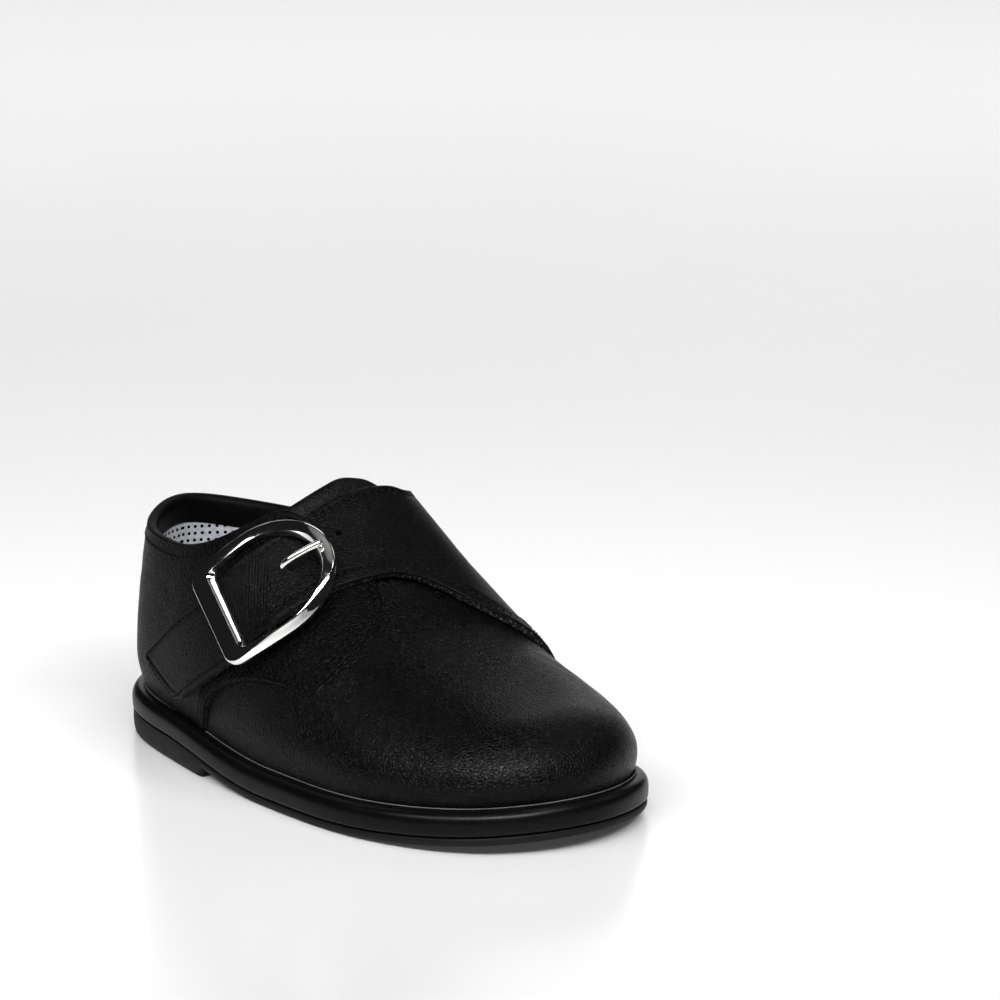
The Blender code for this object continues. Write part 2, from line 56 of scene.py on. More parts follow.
# ------------------------------------------------------------------ driving dimensions
SOLE_LENGTH = 142.0
HEEL_SEAT_Z, FORE_SEAT_Z = 9.8, 7.1
HEEL_SEAM_Z, FORE_SEAM_Z = 5.1, 1.9
TREAD_THICK = 1.9
TOE_SPRING, SPRING_FROM = 3.0, 22.0
WAIST_FROM, WAIST_TO = -34.0, 6.0
HEEL_BREAST, BREAST_RUN = -18.5, 0.8
LIP_INSET, SEAT_DROP = 2.4, 1.2
GAP = 0.3
UPPER_INSET = 1.35
FOOT_TUCK, TUCK_HEIGHT = 1.75, 9.0
WALL = 1.8
INSOLE_THICK = 2.0
TONGUE_THICK = 1.5
STRAP_THICK = 1.6
QUARTER_THICK = 1.2
BUCKLE_LENGTH, BUCKLE_THICK, BUCKLE_BEND = 30.3, 2.2, 73.0
BUCKLE_HALF_FLAT, BUCKLE_HALF_WIDE, BUCKLE_WIDE_AT = 11.4, 12.4, 14.9
BUCKLE_CORNER = 3.0
RIM_FLAT, RIM_SIDE, RIM_ROUND = 5.3, 2.7, 3.6
BAR_AT, BAR_RADIUS, BAR_DROP, BAR_LEAN = 17.0, 0.9, 3.05, 0.05
PRONG_ROOT, PRONG_TIP, PRONG_SIDE = 19.2, 28.6, 0.6
PRONG_RADIUS, PRONG_TIP_RADIUS = 0.95, 0.75
BUCKLE_AT = (-0.67, -26.76, 43.10)
BUCKLE_ALONG = (0.5736, 0.5822, 0.5763)
BUCKLE_FACE = (0.3304, -0.8081, 0.4876)
CENTRE = np.array([-27.0, -1.0, 14.0])   # directions from here chart the whole last

SOLE_OUTLINE = [  # x, y
    (-71.0, 0.0), (-66.0, -11.6), (-56.0, -20.4), (-38.0, -26.6), (-12.0, -31.5), (14.0, -33.5),
    (34.0, -33.0), (51.0, -28.6), (64.0, -20.2), (71.0, 1.3), (65.3, 16.9), (55.2, 27.2),
    (36.0, 32.2), (14.0, 31.2), (-12.0, 23.4), (-38.0, 22.4), (-56.0, 20.0), (-66.0, 12.2)]
LAST_SECTIONS = [  # x, crest height, crest offset to the inner side, side exponent, top exponent
    (-72.0, 96.0, 0.0, 2.40, 2.00), (-45.0, 91.0, 0.5, 2.38, 2.00), (-30.0, 81.5, 1.2, 2.30, 2.00),
    (-20.0, 72.2, 1.9, 2.22, 2.00), (-12.0, 64.7, 2.5, 2.16, 2.00), (0.0, 53.9, 3.5, 2.18, 2.01),
    (12.0, 42.8, 4.2, 2.40, 2.05), (24.0, 34.0, 4.3, 2.70, 2.10), (36.0, 29.3, 3.5, 2.90, 2.13),
    (48.0, 26.2, 2.1, 2.95, 2.14), (58.0, 24.4, 0.8, 2.95, 2.13), (69.0, 23.4, 0.0, 2.95, 2.12)]
INNER_SIDE_EXTRA = 0.1
TOE_ROUND_FROM, TOE_ROUND_POWER = 55.0, 2.2
HEEL_BACK = [  # height, how far the back of the heel stands forward there
    (8.0, 0.8), (16.0, 0.1), (26.0, 0.4), (36.0, 1.6), (44.0, 2.9), (52.0, 5.2), (60.0, 7.6)]
HEEL_BACK_REACH = 55.0
COLLAR = [  # bearing from the toe direction (inner side positive), height of the edge
    (-180.0, 45.6), (-163.0, 44.5), (-140.0, 43.7), (-122.0, 43.9), (-111.0, 44.2), (-97.0, 45.2),
    (-85.0, 46.6), (-69.5, 49.3), (-57.0, 52.0), (-49.0, 53.7), (-40.0, 54.9), (-30.0, 54.0),
    (-15.0, 50.6), (0.0, 49.2), (14.0, 51.2), (27.0, 54.9), (36.0, 55.4), (50.0, 53.0),
    (68.0, 49.0), (85.0, 45.9), (122.0, 42.8), (147.0, 42.9), (163.0, 44.2), (180.0, 45.6)]
STRAP = [  # rear edge x, girth; front edge x, girth; lift of the under side above the last
    (-42.3, 7.8, -24.3, 5.0, 1.50), (-38.9, 10.3, -21.0, 7.6, 1.50),
    (-29.0, 17.4, -14.2, 13.0, 1.50), (-20.1, 25.6, -8.2, 18.9, 1.65), (-14.6, 32.9, -2.2, 26.4, 2.30),
    (-9.6, 42.9, 3.0, 36.3, 3.55), (-6.0, 53.4, 6.4, 47.7, 3.25), (-4.6, 65.8, 8.4, 59.9, 1.80),
    (-4.3, 76.4, 10.1, 71.9, 1.20), (-4.0, 86.0, 11.5, 82.6, 0.90), (-3.7, 95.5, 14.6, 90.0, 0.70),
    (-3.6, 103.0, 19.2, 98.0, 0.50), (-6.6, 115.8, 23.4, 112.0, 0.30), (-12.1, 128.4, 24.5, 129.0, 0.0)]
INNER_FRONT = [  # x, girth: the inner quarter's front edge goes on down to the sole
    (24.1, 142.0), (23.5, 155.0), (22.9, 168.0), (22.4, 179.5)]
QUARTER_EDGE = [  # x, girth: the outer quarter's front edge, from the sole to under the strap
    (-20.0, 0.8), (-17.7, 3.9), (-16.4, 6.5), (-15.3, 8.6), (-13.3, 10.9), (-10.1, 14.0), (-5.9, 17.4), (-1.0, 21.0),
    (3.6, 23.9), (9.4, 27.3), (13.6, 29.5), (15.6, 30.9), (16.9, 33.0), (18.9, 40.9), (19.7, 49.4), (19.5, 58.5), (18.9, 66.6),
    (18.0, 70.4), (15.8, 73.1), (13.4, 74.4), (10.9, 75.1), (7.0, 76.0)]
QUARTER_TOP = [  # x, girth: where the outer quarter ends under the strap
    (-9.6, 58.1), (-4.6, 63.0), (-0.5, 68.0), (3.0, 72.0), (5.6, 75.2)]
TONGUE_TOP = [  # x, girth along the tongue's upper edge
    (-11.6, 52.0), (-10.4, 60.4), (-9.4, 65.7), (-8.7, 71.6), (-8.4, 78.1), (-8.3, 84.5), (-7.6, 89.5), (-6.5, 95.5), (-5.0, 102.0), (-2.6, 109.0)]
TONGUE_END = 20.0
STRAP_HOLES = [  # x, girth
    (1.15, 69.9), (-4.9, 41.8), (-1.6, 49.6)]
BAR_TACK = [  # x, girth: corners of the stitched box on the inner quarter
    (16.2, 131.2), (21.8, 123.7), (22.1, 133.7), (17.3, 136.3)]

# ------------------------------------------------------------------ curves


def spline(xs, ys, x):
    """Natural cubic through a table."""
    xs, ys = np.asarray(xs, float), np.asarray(ys, float)
    n, h = len(xs), np.diff(xs)
    a, r = np.eye(n), np.zeros(n)
    for i in range(1, n - 1):
        a[i, i - 1], a[i, i], a[i, i + 1] = h[i - 1], 2 * (h[i - 1] + h[i]), h[i]
        r[i] = 6 * ((ys[i + 1] - ys[i]) / h[i] - (ys[i] - ys[i - 1]) / h[i - 1])
    m = np.linalg.solve(a, r)
    x = np.clip(x, xs[0], xs[-1])
    k = np.clip(np.searchsorted(xs, x, side="right") - 1, 0, n - 2)
    u, w = (xs[k + 1] - x) / h[k], (x - xs[k]) / h[k]
    return u * ys[k] + w * ys[k + 1] + ((u**3 - u) * m[k] + (w**3 - w) * m[k + 1]) * h[k]**2 / 6


def column(table, k):
    return [row[k] for row in table]


def closed_spline(points, count):
    """Periodic cubic through a closed list of points."""
    p = np.asarray(points, float)
    m, q = len(p), np.vstack([p, p[:1]])
    h = np.hypot(*np.diff(q, axis=0).T)
    t = np.concatenate([[0], np.cumsum(h)])
    a, r = np.zeros((m, m)), np.zeros((m, 2))
    for i in range(m):
        b, c = h[i - 1], h[i]
        a[i, i - 1] += b
        a[i, i] += 2 * (b + c)
        a[i, (i + 1) % m] += c
        r[i] = 6 * ((q[i + 1] - q[i]) / c - (q[i] - p[i - 1]) / b)
    d = np.linalg.solve(a, r)
    d = np.vstack([d, d[:1]])
    s = np.linspace(0, t[-1], count, endpoint=False)
    k = np.clip(np.searchsorted(t, s, side="right") - 1, 0, m - 1)
    u, w = ((t[k + 1] - s) / h[k])[:, None], ((s - t[k]) / h[k])[:, None]
    return u * q[k] + w * q[k + 1] + ((u**3 - u) * d[k] + (w**3 - w) * d[k + 1]) * (h[k]**2)[:, None] / 6


def smooth(u):
    u = np.clip(u, 0, 1)
    return u * u * (3 - 2 * u)


def bell(d, width):
    return np.exp(-(d / width)**2)


def run_length(p):
    return np.concatenate([[0], np.cumsum(np.linalg.norm(np.diff(p, axis=0), axis=1))])


def resample(p, step, count=None):
    """Points at even distances along a polyline."""
    s = run_length(p)
    n = count or max(int(round(s[-1] / step)), 2) + 1
    t = np.linspace(0, s[-1], n)
    return np.stack([np.interp(t, s, p[:, k]) for k in range(p.shape[1])], 1)


# ------------------------------------------------------------------ sole lines
OUTLINE = closed_spline(SOLE_OUTLINE, 1440)


def inset_outline(depth):
    t = np.roll(OUTLINE, -1, 0) - np.roll(OUTLINE, 1, 0)
    t /= np.linalg.norm(t, axis=1)[:, None]
    return OUTLINE + depth * np.stack([-t[:, 1], t[:, 0]], 1)


def halves(outline):
    """Outer and inner edge of a closed outline, each from heel to toe."""
    o = np.roll(outline, -outline[:, 0].argmin(), 0)
    k = o[:, 0].argmax()
    a, b = o[:k + 1], np.vstack([o[k:], o[:1]])[::-1]
    return (a, b) if a[:, 1].mean() < b[:, 1].mean() else (b, a)


LAT, MED = halves(inset_outline(UPPER_INSET))
X0, X1 = LAT[0, 0], LAT[-1, 0]


def waist(x):
    return smooth((x - WAIST_FROM) / (WAIST_TO - WAIST_FROM))


def spring(x):
    return TOE_SPRING * np.clip((x - SPRING_FROM) / (SOLE_LENGTH / 2 - SPRING_FROM), 0, None)**2


def seat_z(x):
    return HEEL_SEAT_Z + (FORE_SEAT_Z - HEEL_SEAT_Z) * waist(x) + spring(x)


def seam_z(x):
    return HEEL_SEAM_Z + (FORE_SEAM_Z - HEEL_SEAM_Z) * waist(x) + spring(x)


def tread_z(x):
    return (seam_z(x) - TREAD_THICK) * np.clip((x - HEEL_BREAST) / BREAST_RUN, 0, 1)


def foot_z(x):
    return seat_z(x) - SEAT_DROP + GAP


# ------------------------------------------------------------------ the last


def crest_z(x):
    z, b = spline(column(LAST_SECTIONS, 0), column(LAST_SECTIONS, 1), x), foot_z(x)
    u = np.clip((x - TOE_ROUND_FROM) / (X1 - TOE_ROUND_FROM), 0, 1)
    return b + (z - b) * np.clip(1 - u**TOE_ROUND_POWER, 1e-6, 1)**(1 / TOE_ROUND_POWER)


def section(x):
    sx = column(LAST_SECTIONS, 0)
    yl, ym = np.interp(x, LAT[:, 0], LAT[:, 1]), np.interp(x, MED[:, 0], MED[:, 1])
    yc = np.clip(spline(sx, column(LAST_SECTIONS, 2), x), yl + .35 * (ym - yl), ym - .35 * (ym - yl))
    return (yl, ym, yc, foot_z(x), crest_z(x),
            spline(sx, column(LAST_SECTIONS, 3), x), spline(sx, column(LAST_SECTIONS, 4), x))


def heel_shift(x, z):
    return (spline(column(HEEL_BACK, 0), column(HEEL_BACK, 1), z)
            * (1 - smooth((x - X0) / HEEL_BACK_REACH)))


def tuck(h):
    return FOOT_TUCK * (1 - np.clip(h / TUCK_HEIGHT, 0, 1))**2


def skin(x, girth):
    """Point of the last at section x: girth 0 is the outer foot line, 90 the crest, 180 the inner foot line."""
    x, g = np.broadcast_arrays(np.asarray(x, float), np.radians(np.asarray(girth, float)))
    yl, ym, yc, b, t, n, m = section(x)
    c, s = np.cos(g), np.sin(g)
    n = n + np.where(c > 0, 0, INNER_SIDE_EXTRA)
    w, rise = np.where(c > 0, yc - yl, ym - yc), (t - b) * np.abs(s)**(2 / m)
    k = tuck(rise)
    y = yc - np.sign(c) * w * np.abs(c)**(2 / n) / (1 + k / np.maximum(w, 1))
    z = b + rise
    return np.stack([(x + heel_shift(x, z)) / (1 + 2 * k / SOLE_LENGTH), y, z], -1)


def skin_normal(x, girth):
    x = np.clip(np.asarray(x, float), X0 + .3, X1 - .3)
    a, b = skin(x + .15, girth) - skin(x - .15, girth), skin(x, girth + .4) - skin(x, girth - .4)
    n = np.cross(a, b)
    n /= np.linalg.norm(n, axis=-1)[..., None]
    p = skin(x, girth)
    return np.where((n[..., 1] * p[..., 1] + n[..., 2] * (p[..., 2] - 20) < 0)[..., None], -n, n)


def beyond(x, y, z):
    """Positive outside the last, negative inside."""
    k = tuck(z - foot_z(x))
    x = x * (1 + 2 * k / SOLE_LENGTH)
    x = x - heel_shift(x, z)
    off = (x <= X0) | (x >= X1)
    yl, ym, yc, b, t, n, m = section(np.clip(x, X0 + 1e-3, X1 - 1e-3))
    n = n + np.where(y >= yc, INNER_SIDE_EXTRA, 0)
    w = np.maximum(np.where(y >= yc, ym - yc, yc - yl), 1e-3)
    v = (np.abs(y - yc) * (1 + k / np.maximum(w, 1)) / w)**n + np.clip((z - b) / (t - b), 0, None)**m - 1
    return np.where(off, 1 + np.abs(x), v)


# ------------------------------------------------------------------ chart of the last by direction from CENTRE


def aim(p):
    """Bearing and tilt of points, in degrees."""
    d = np.asarray(p, float) - CENTRE
    return np.stack([np.degrees(np.arctan2(d[..., 1], d[..., 0])),
                     np.degrees(np.arctan2(d[..., 2], np.hypot(d[..., 0], d[..., 1])))], -1)


def cast(chart):
    """Points of the last in given directions."""
    chart = np.asarray(chart, float)
    b, t = np.radians(chart[..., 0]), np.radians(chart[..., 1])
    d = np.stack([np.cos(b) * np.cos(t), np.sin(b) * np.cos(t), np.sin(t)], -1)
    low, high = np.zeros(b.shape), np.full(b.shape, 150.0)
    for _ in range(25):
        mid = (low + high) / 2
        p = CENTRE + mid[..., None] * d
        out = beyond(p[..., 0], p[..., 1], p[..., 2]) > 0
        low, high = np.where(out, low, mid), np.where(out, mid, high)
    return CENTRE + low[..., None] * d


def outward(chart, e=.35):
    """Outward normals in given directions."""
    chart = np.asarray(chart, float)
    u, v = np.array([e, 0]), np.array([0, e])
    n = np.cross(cast(chart + u) - cast(chart - u), cast(chart + v) - cast(chart - v))
    n /= np.linalg.norm(n, axis=-1)[..., None]
    out = (n * (cast(chart) - CENTRE)).sum(-1)
    return np.where(out[..., None] < 0, -n, n)


def grid_normals(p, closed=False):
    a = np.roll(p, -1, 0) - np.roll(p, 1, 0) if closed else np.gradient(p, axis=0)
    n = np.cross(a, np.gradient(p, axis=1))
    n /= np.maximum(np.linalg.norm(n, axis=-1), 1e-12)[..., None]
    out = (n * (p - CENTRE)).sum(-1)
    return np.where(out[..., None] < 0, -n, n)


def collar_height(bearing):
    t = [(b - 360, h) for b, h in COLLAR[-5:-1]] + COLLAR + [(b + 360, h) for b, h in COLLAR[1:5]]
    return spline(column(t, 0), column(t, 1), bearing)


BEARINGS = np.linspace(-180, 180, 721)
_tilts = np.linspace(-32, 74, 266)
_rays = cast(np.stack(np.meshgrid(BEARINGS, _tilts, indexing="ij"), -1))
_z, _above = _rays[..., 2], _rays[..., 2] - foot_z(_rays[..., 0])


def first_crossing(v):
    k = np.clip(np.argmax(v > 0, axis=1), 1, None)
    i = np.arange(len(v))
    return _tilts[k - 1] + (_tilts[k] - _tilts[k - 1]) * (-v[i, k - 1] / (v[i, k] - v[i, k - 1]))


FOOT_TILT = first_crossing(_above)
COLLAR_TILT = first_crossing(_z - collar_height(BEARINGS)[:, None])


def foot_chart(bearing):
    return np.stack([bearing, np.interp(bearing, BEARINGS, FOOT_TILT)], -1)


def collar_chart(bearing):
    return np.stack([bearing, np.interp(bearing, BEARINGS, COLLAR_TILT)], -1)


def chart_curve(table, step=.5):
    """Smooth curve through a table of x and girth, as a chart with points about a step apart."""
    p = skin(np.array(column(table, 0)), np.array(column(table, 1)))
    c, s = aim(p), run_length(p)
    t = np.linspace(0, s[-1], int(s[-1] / step) + 1)
    return np.stack([spline(s, c[:, 0], t), spline(s, c[:, 1], t)], 1)


def beside(chart, distance, side):
    """Curve that runs beside a charted curve, in the surface, at a distance in millimetres."""
    p = cast(chart)
    n = outward(chart)
    t = np.gradient(p, axis=0)
    t /= np.linalg.norm(t, axis=1)[:, None]
    return aim(p + side * distance * np.cross(n, t))


def distance_to(points, line):
    """Least distance of points from a polyline."""
    flat = points.reshape(-1, 3)
    best = np.full(len(flat), 1e9)
    a, b = line[:-1], line[1:]
    for k in range(0, len(flat), 4000):
        q = flat[k:k + 4000, None]
        d = b - a
        u = np.clip(((q - a) * d).sum(-1) / np.maximum((d * d).sum(-1), 1e-12), 0, 1)
        best[k:k + 4000] = np.linalg.norm(q - a - u[..., None] * d, axis=-1).min(1)
    return best.reshape(points.shape[:-1])


# ------------------------------------------------------------------ materials


def new_material(name, colour, rough, metal=0.0):
    m = bpy.data.materials.new(name)
    m.use_nodes = True
    b = m.node_tree.nodes["Principled BSDF"]
    b.inputs["Base Color"].default_value = (*colour, 1)
    b.inputs["Roughness"].default_value = rough
    b.inputs["Metallic"].default_value = metal
    return m, m.node_tree, b


def node(tree, kind, **settings):
    n = tree.nodes.new("ShaderNode" + kind)
    for k, v in settings.items():
        setattr(n, k, v)
    return n


def in_mm(tree, stretch=(1, 1, 1)):
    """Object coordinates in millimetres."""
    t, m = node(tree, "TexCoord"), node(tree, "Mapping")
    m.inputs["Scale"].default_value = tuple(1000 * s for s in stretch)
    tree.links.new(t.outputs["Object"], m.inputs["Vector"])
    return m.outputs["Vector"]


def noise(tree, vector, scale, detail=3, rough=.55, distort=0.0):
    n = node(tree, "TexNoise")
    n.inputs["Scale"].default_value = scale
    n.inputs["Detail"].default_value = detail
    n.inputs["Roughness"].default_value = rough
    n.inputs["Distortion"].default_value = distort
    tree.links.new(vector, n.inputs["Vector"])
    return n.outputs["Fac"]


def ramp(tree, value, low, high, a, b):
    r = node(tree, "MapRange", interpolation_type="SMOOTHSTEP")
    for k, v in zip(("From Min", "From Max", "To Min", "To Max"), (low, high, a, b)):
        r.inputs[k].default_value = v
    tree.links.new(value, r.inputs["Value"])
    return r.outputs["Result"]


def mix_colour(tree, factor, a, b):
    m = node(tree, "Mix", data_type="RGBA")
    m.inputs["A"].default_value, m.inputs["B"].default_value = (*a, 1), (*b, 1)
    tree.links.new(factor, m.inputs["Factor"])
    return m.outputs["Result"]


def maths(tree, what, a, b):
    m = node(tree, "Math", operation=what)
    for k, v in enumerate((a, b)):
        if isinstance(v, (int, float)):
            m.inputs[k].default_value = v
        else:
            tree.links.new(v, m.inputs[k])
    return m.outputs[0]


def bump(tree, shader, height, depth_mm, strength=1.0):
    b = node(tree, "Bump")
    b.inputs["Strength"].default_value = strength
    b.inputs["Distance"].default_value = depth_mm * MM
    tree.links.new(height, b.inputs["Height"])
    tree.links.new(b.outputs["Normal"], shader.inputs["Normal"])


def leather(name, tone=.005, rough=(.36, .50), cell=1.25, depth=.06, wrinkle=.5, specular=.2, fold=None):
    """Grained leather: small convex cells, larger groups of them, folds and a fine tooth. fold is (point, direction) of cross creases."""
    m, t, b = new_material(name, (tone, tone, tone * 1.05), rough[0])
    v = in_mm(t)
    warp = node(t, "VectorMath", operation="MULTIPLY_ADD")
    wn = node(t, "TexNoise")
    wn.inputs["Scale"].default_value = .42
    wn.inputs["Detail"].default_value = 3
    t.links.new(v, wn.inputs["Vector"])
    t.links.new(wn.outputs["Color"], warp.inputs[0])
    warp.inputs[1].default_value = (.6, .6, .6)
    t.links.new(v, warp.inputs[2])

    def cells(scale, reach):
        c = node(t, "TexVoronoi", feature="DISTANCE_TO_EDGE")
        c.inputs["Scale"].default_value = scale
        t.links.new(warp.outputs[0], c.inputs["Vector"])
        x = ramp(t, c.outputs["Distance"], 0, reach, 0, 1)
        return maths(t, "MULTIPLY", x, maths(t, "SUBTRACT", 2.0, x))
    folds = noise(t, warp.outputs[0], .7, 4, .6, .5)
    fine = noise(t, v, 5.5, 2, .5)
    h = maths(t, "ADD", maths(t, "MULTIPLY", cells(cell, .34), .60), maths(t, "MULTIPLY", cells(cell * .42, .16), .32))
    h = maths(t, "ADD", h, maths(t, "MULTIPLY", folds, wrinkle * 1.5))
    h = maths(t, "ADD", h, maths(t, "MULTIPLY", fine, .12))
    if fold:
        at, along = fold
        far = node(t, "VectorMath", operation="DISTANCE")
        t.links.new(v, far.inputs[0])
        far.inputs[1].default_value = tuple(float(c) for c in at)
        near = ramp(t, far.outputs["Value"], 4.5, 9.5, 1, 0)
        dot = node(t, "VectorMath", operation="DOT_PRODUCT")
        t.links.new(warp.outputs[0], dot.inputs[0])
        dot.inputs[1].default_value = tuple(float(c) for c in along)
        wave = maths(t, "SINE", maths(t, "MULTIPLY", dot.outputs["Value"], 8.5), 0.0)
        h = maths(t, "ADD", h, maths(t, "MULTIPLY", maths(t, "MULTIPLY", wave, near), .50))
    bump(t, b, h, depth)
    broad = noise(t, v, .09, 3, .6)
    t.links.new(mix_colour(t, ramp(t, broad, .3, .7, 0, 1), (tone * .8, tone * .8, tone * .84),
                           (tone * 1.25, tone * 1.25, tone * 1.3)), b.inputs["Base Color"])
    patch = maths(t, "ADD", maths(t, "MULTIPLY", broad, .6), maths(t, "MULTIPLY", folds, .4))
    t.links.new(ramp(t, patch, .3, .7, rough[0], rough[1]), b.inputs["Roughness"])
    b.inputs["Specular IOR Level"].default_value = specular
    return m


def raw_edge(name):
    m, t, b = new_material(name, (.01, .01, .01), .8)
    b.inputs["Specular IOR Level"].default_value = .15
    v = in_mm(t)
    n = noise(t, v, 2.2, 4, .7)
    t.links.new(mix_colour(t, ramp(t, n, .53, .66, 0, 1), (.007, .007, .007), (.22, .215, .21)), b.inputs["Base Color"])
    bump(t, b, noise(t, v, 4, 3, .6), .12)
    return m


def moulded(name, tone, rough, depth, coat=0.0, specular=.25):
    m, t, b = new_material(name, (tone, tone, tone), rough[0])
    v = in_mm(t)
    broad, fine = noise(t, v, .12, 3, .6), noise(t, v, 3.0, 3, .6)
    t.links.new(mix_colour(t, ramp(t, broad, .3, .7, 0, 1), (tone * .85,) * 3, (tone * 1.2,) * 3), b.inputs["Base Color"])
    t.links.new(ramp(t, maths(t, "ADD", maths(t, "MULTIPLY", broad, .5), maths(t, "MULTIPLY", fine, .5)), .3, .7, *rough),
                b.inputs["Roughness"])
    bump(t, b, fine, depth)
    b.inputs["Specular IOR Level"].default_value = specular
    b.inputs["Coat Weight"].default_value = coat
    b.inputs["Coat Roughness"].default_value = .12
    return m


def polished(name):
    m, t, b = new_material(name, (.84, .835, .82), .06, 1.0)
    v = in_mm(t)
    t.links.new(ramp(t, noise(t, v, .5, 4, .6), .3, .75, .035, .12), b.inputs["Roughness"])
    bump(t, b, noise(t, v, .22, 2, .5), .02)
    return m


def cloth(name, colour, pitch=.35):
    m, t, b = new_material(name, colour, .9)
    v = in_mm(t)
    n = noise(t, v, 1.0, 3, .6)
    t.links.new(mix_colour(t, ramp(t, n, .3, .7, 0, 1), tuple(c * .86 for c in colour), tuple(min(c * 1.1, 1) for c in colour)),
                b.inputs["Base Color"])
    w = node(t, "TexVoronoi")
    w.inputs["Scale"].default_value = 1 / pitch
    t.links.new(v, w.inputs["Vector"])
    bump(t, b, w.outputs["Distance"], .08)
    b.inputs["Sheen Weight"].default_value = .25
    return m


VAMP_LEATHER = leather("vamp_leather", .0028, (.25, .33), 1.45, .10, .10, .23)
QUARTER_LEATHER = leather("quarter_leather", .0026, (.26, .35), 1.3, .17, .16, .12)
STRAP_LEATHER = leather("strap_leather", .003, (.27, .35), 1.5, .09, .10, .17,
                        fold=(np.array([-5.0, -28.0, 41.8]) + SHIFT, (.86, .44, .26)))
SOFT_LEATHER = leather("tongue_leather", .004, (.34, .44), 1.4, .09, .2, .2)
BINDING = leather("binding_leather", .003, (.40, .50), 1.7, .06, .2, .12)
EDGE = raw_edge("cut_edge")
GLOSS = moulded("edge_rubber", .004, (.26, .34), .003, .0, .24)
TREAD = moulded("tread_rubber", .008, (.46, .60), .04, .0, .3)
# pale grey of the fine line where the upper goes into the sole
JUNCTION_LINE = moulded("pale_junction_line", .13, (.5, .6), .03)
METAL = polished("polished_metal")
LINING = cloth("lining_cloth", (.50, .51, .54))
SOCK = cloth("sock_cloth", (.46, .47, .50), .5)
THREAD = moulded("thread", .004, (.42, .55), .05)
# near-black matt finish for holes and needle pits: painted shade where there is only depth
HOLE_SHADE = moulded("painted_hole_shade", .0012, (.9, 1.0), .02, 0.0, .02)

# ------------------------------------------------------------------ meshes


def piece(name, points, faces, mats, slots=None, sharp=None, replaces=(), slot="leather", turn=True):
    """Mesh object in the part's frame, riding on the shoe."""
    mesh = bpy.data.meshes.new(name)
    p = (np.asarray(points, float) + SHIFT) * MM
    mesh.from_pydata(p.tolist(), [], [tuple(int(i) for i in f) for f in faces])
    for m in mats:
        mesh.materials.append(m)
    if slots is not None:
        mesh.polygons.foreach_set("material_index", np.asarray(slots, np.int32))
    if turn:
        bm = bmesh.new()
        bm.from_mesh(mesh)
        bmesh.ops.recalc_face_normals(bm, faces=bm.faces)
        bm.to_mesh(mesh)
        bm.free()
    mesh.shade_smooth()
    if sharp:
        mesh.set_sharp_from_angle(angle=math.radians(sharp))
    mesh.update()
    ob = bpy.data.objects.new(name, mesh)
    bpy.context.scene.collection.objects.link(ob)
    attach(ob, "root")
    if replaces:
        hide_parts(*replaces)
    return ob


def quads(rows, cols, wrap_rows=False, wrap_cols=False):
    """Faces of a grid of points."""
    i, j = np.meshgrid(np.arange(rows if wrap_rows else rows - 1), np.arange(cols if wrap_cols else cols - 1), indexing="ij")
    i, j = i.ravel(), j.ravel()
    i2, j2 = (i + 1) % rows, (j + 1) % cols
    return np.stack([i * cols + j, i * cols + j2, i2 * cols + j2, i2 * cols + j], 1)


def sleeve(grid):
    """Points and faces of a body whose every row is a closed loop, capped at both ends."""
    r, c = grid.shape[:2]
    faces = [tuple(f) for f in quads(r, c, wrap_cols=True)]
    return grid.reshape(-1, 3), faces + [tuple(range(c)), tuple(range((r - 1) * c, r * c))]


def ruled(first, last, plan, fine=33):
    """Grid across a panel between two charted edges: plan(width) gives distances from the first edge."""
    u = np.linspace(0, 1, fine)
    p = cast(first[:, None] + (last - first)[:, None] * u[None, :, None])
    run = np.concatenate([np.zeros((len(p), 1)), np.cumsum(np.linalg.norm(np.diff(p, axis=1), axis=2), axis=1)], 1)
    s = plan(run[:, -1])
    f = np.stack([np.interp(s[i], run[i], u) for i in range(len(p))])
    p = cast(first[:, None] + (last - first)[:, None] * f[..., None])
    return p, grid_normals(p), s, run[:, -1]


def edge_plan(near, middle, far):
    """Distances from an edge: close rows at both edges, even rows between."""
    near, far = np.asarray(near, float), np.asarray(far, float)

    def plan(width):
        out = []
        for w in width:
            k = min(1.0, .45 * w / max(near[-1] if len(near) else 1, far[-1] if len(far) else 1, 1e-6))
            a, b = near * k, w - far[::-1] * k
            out.append(np.concatenate([a, np.linspace(a[-1], b[0], middle + 2)[1:-1], b]))
        return np.array(out)
    return plan


def rounded(d, radius):
    """Fall of a rounded edge at a distance from it."""
    return radius * (1 - np.sqrt(np.clip(1 - (1 - np.clip(d / radius, 0, 1))**2, 0, 1)))


def keep_low(h, p, free=.35, slope=.30):
    """Panels stay thin where they go down inside the sole's lip."""
    return np.minimum(h, free + slope * np.clip(p[..., 2] - foot_z(p[..., 0]), 0, None))


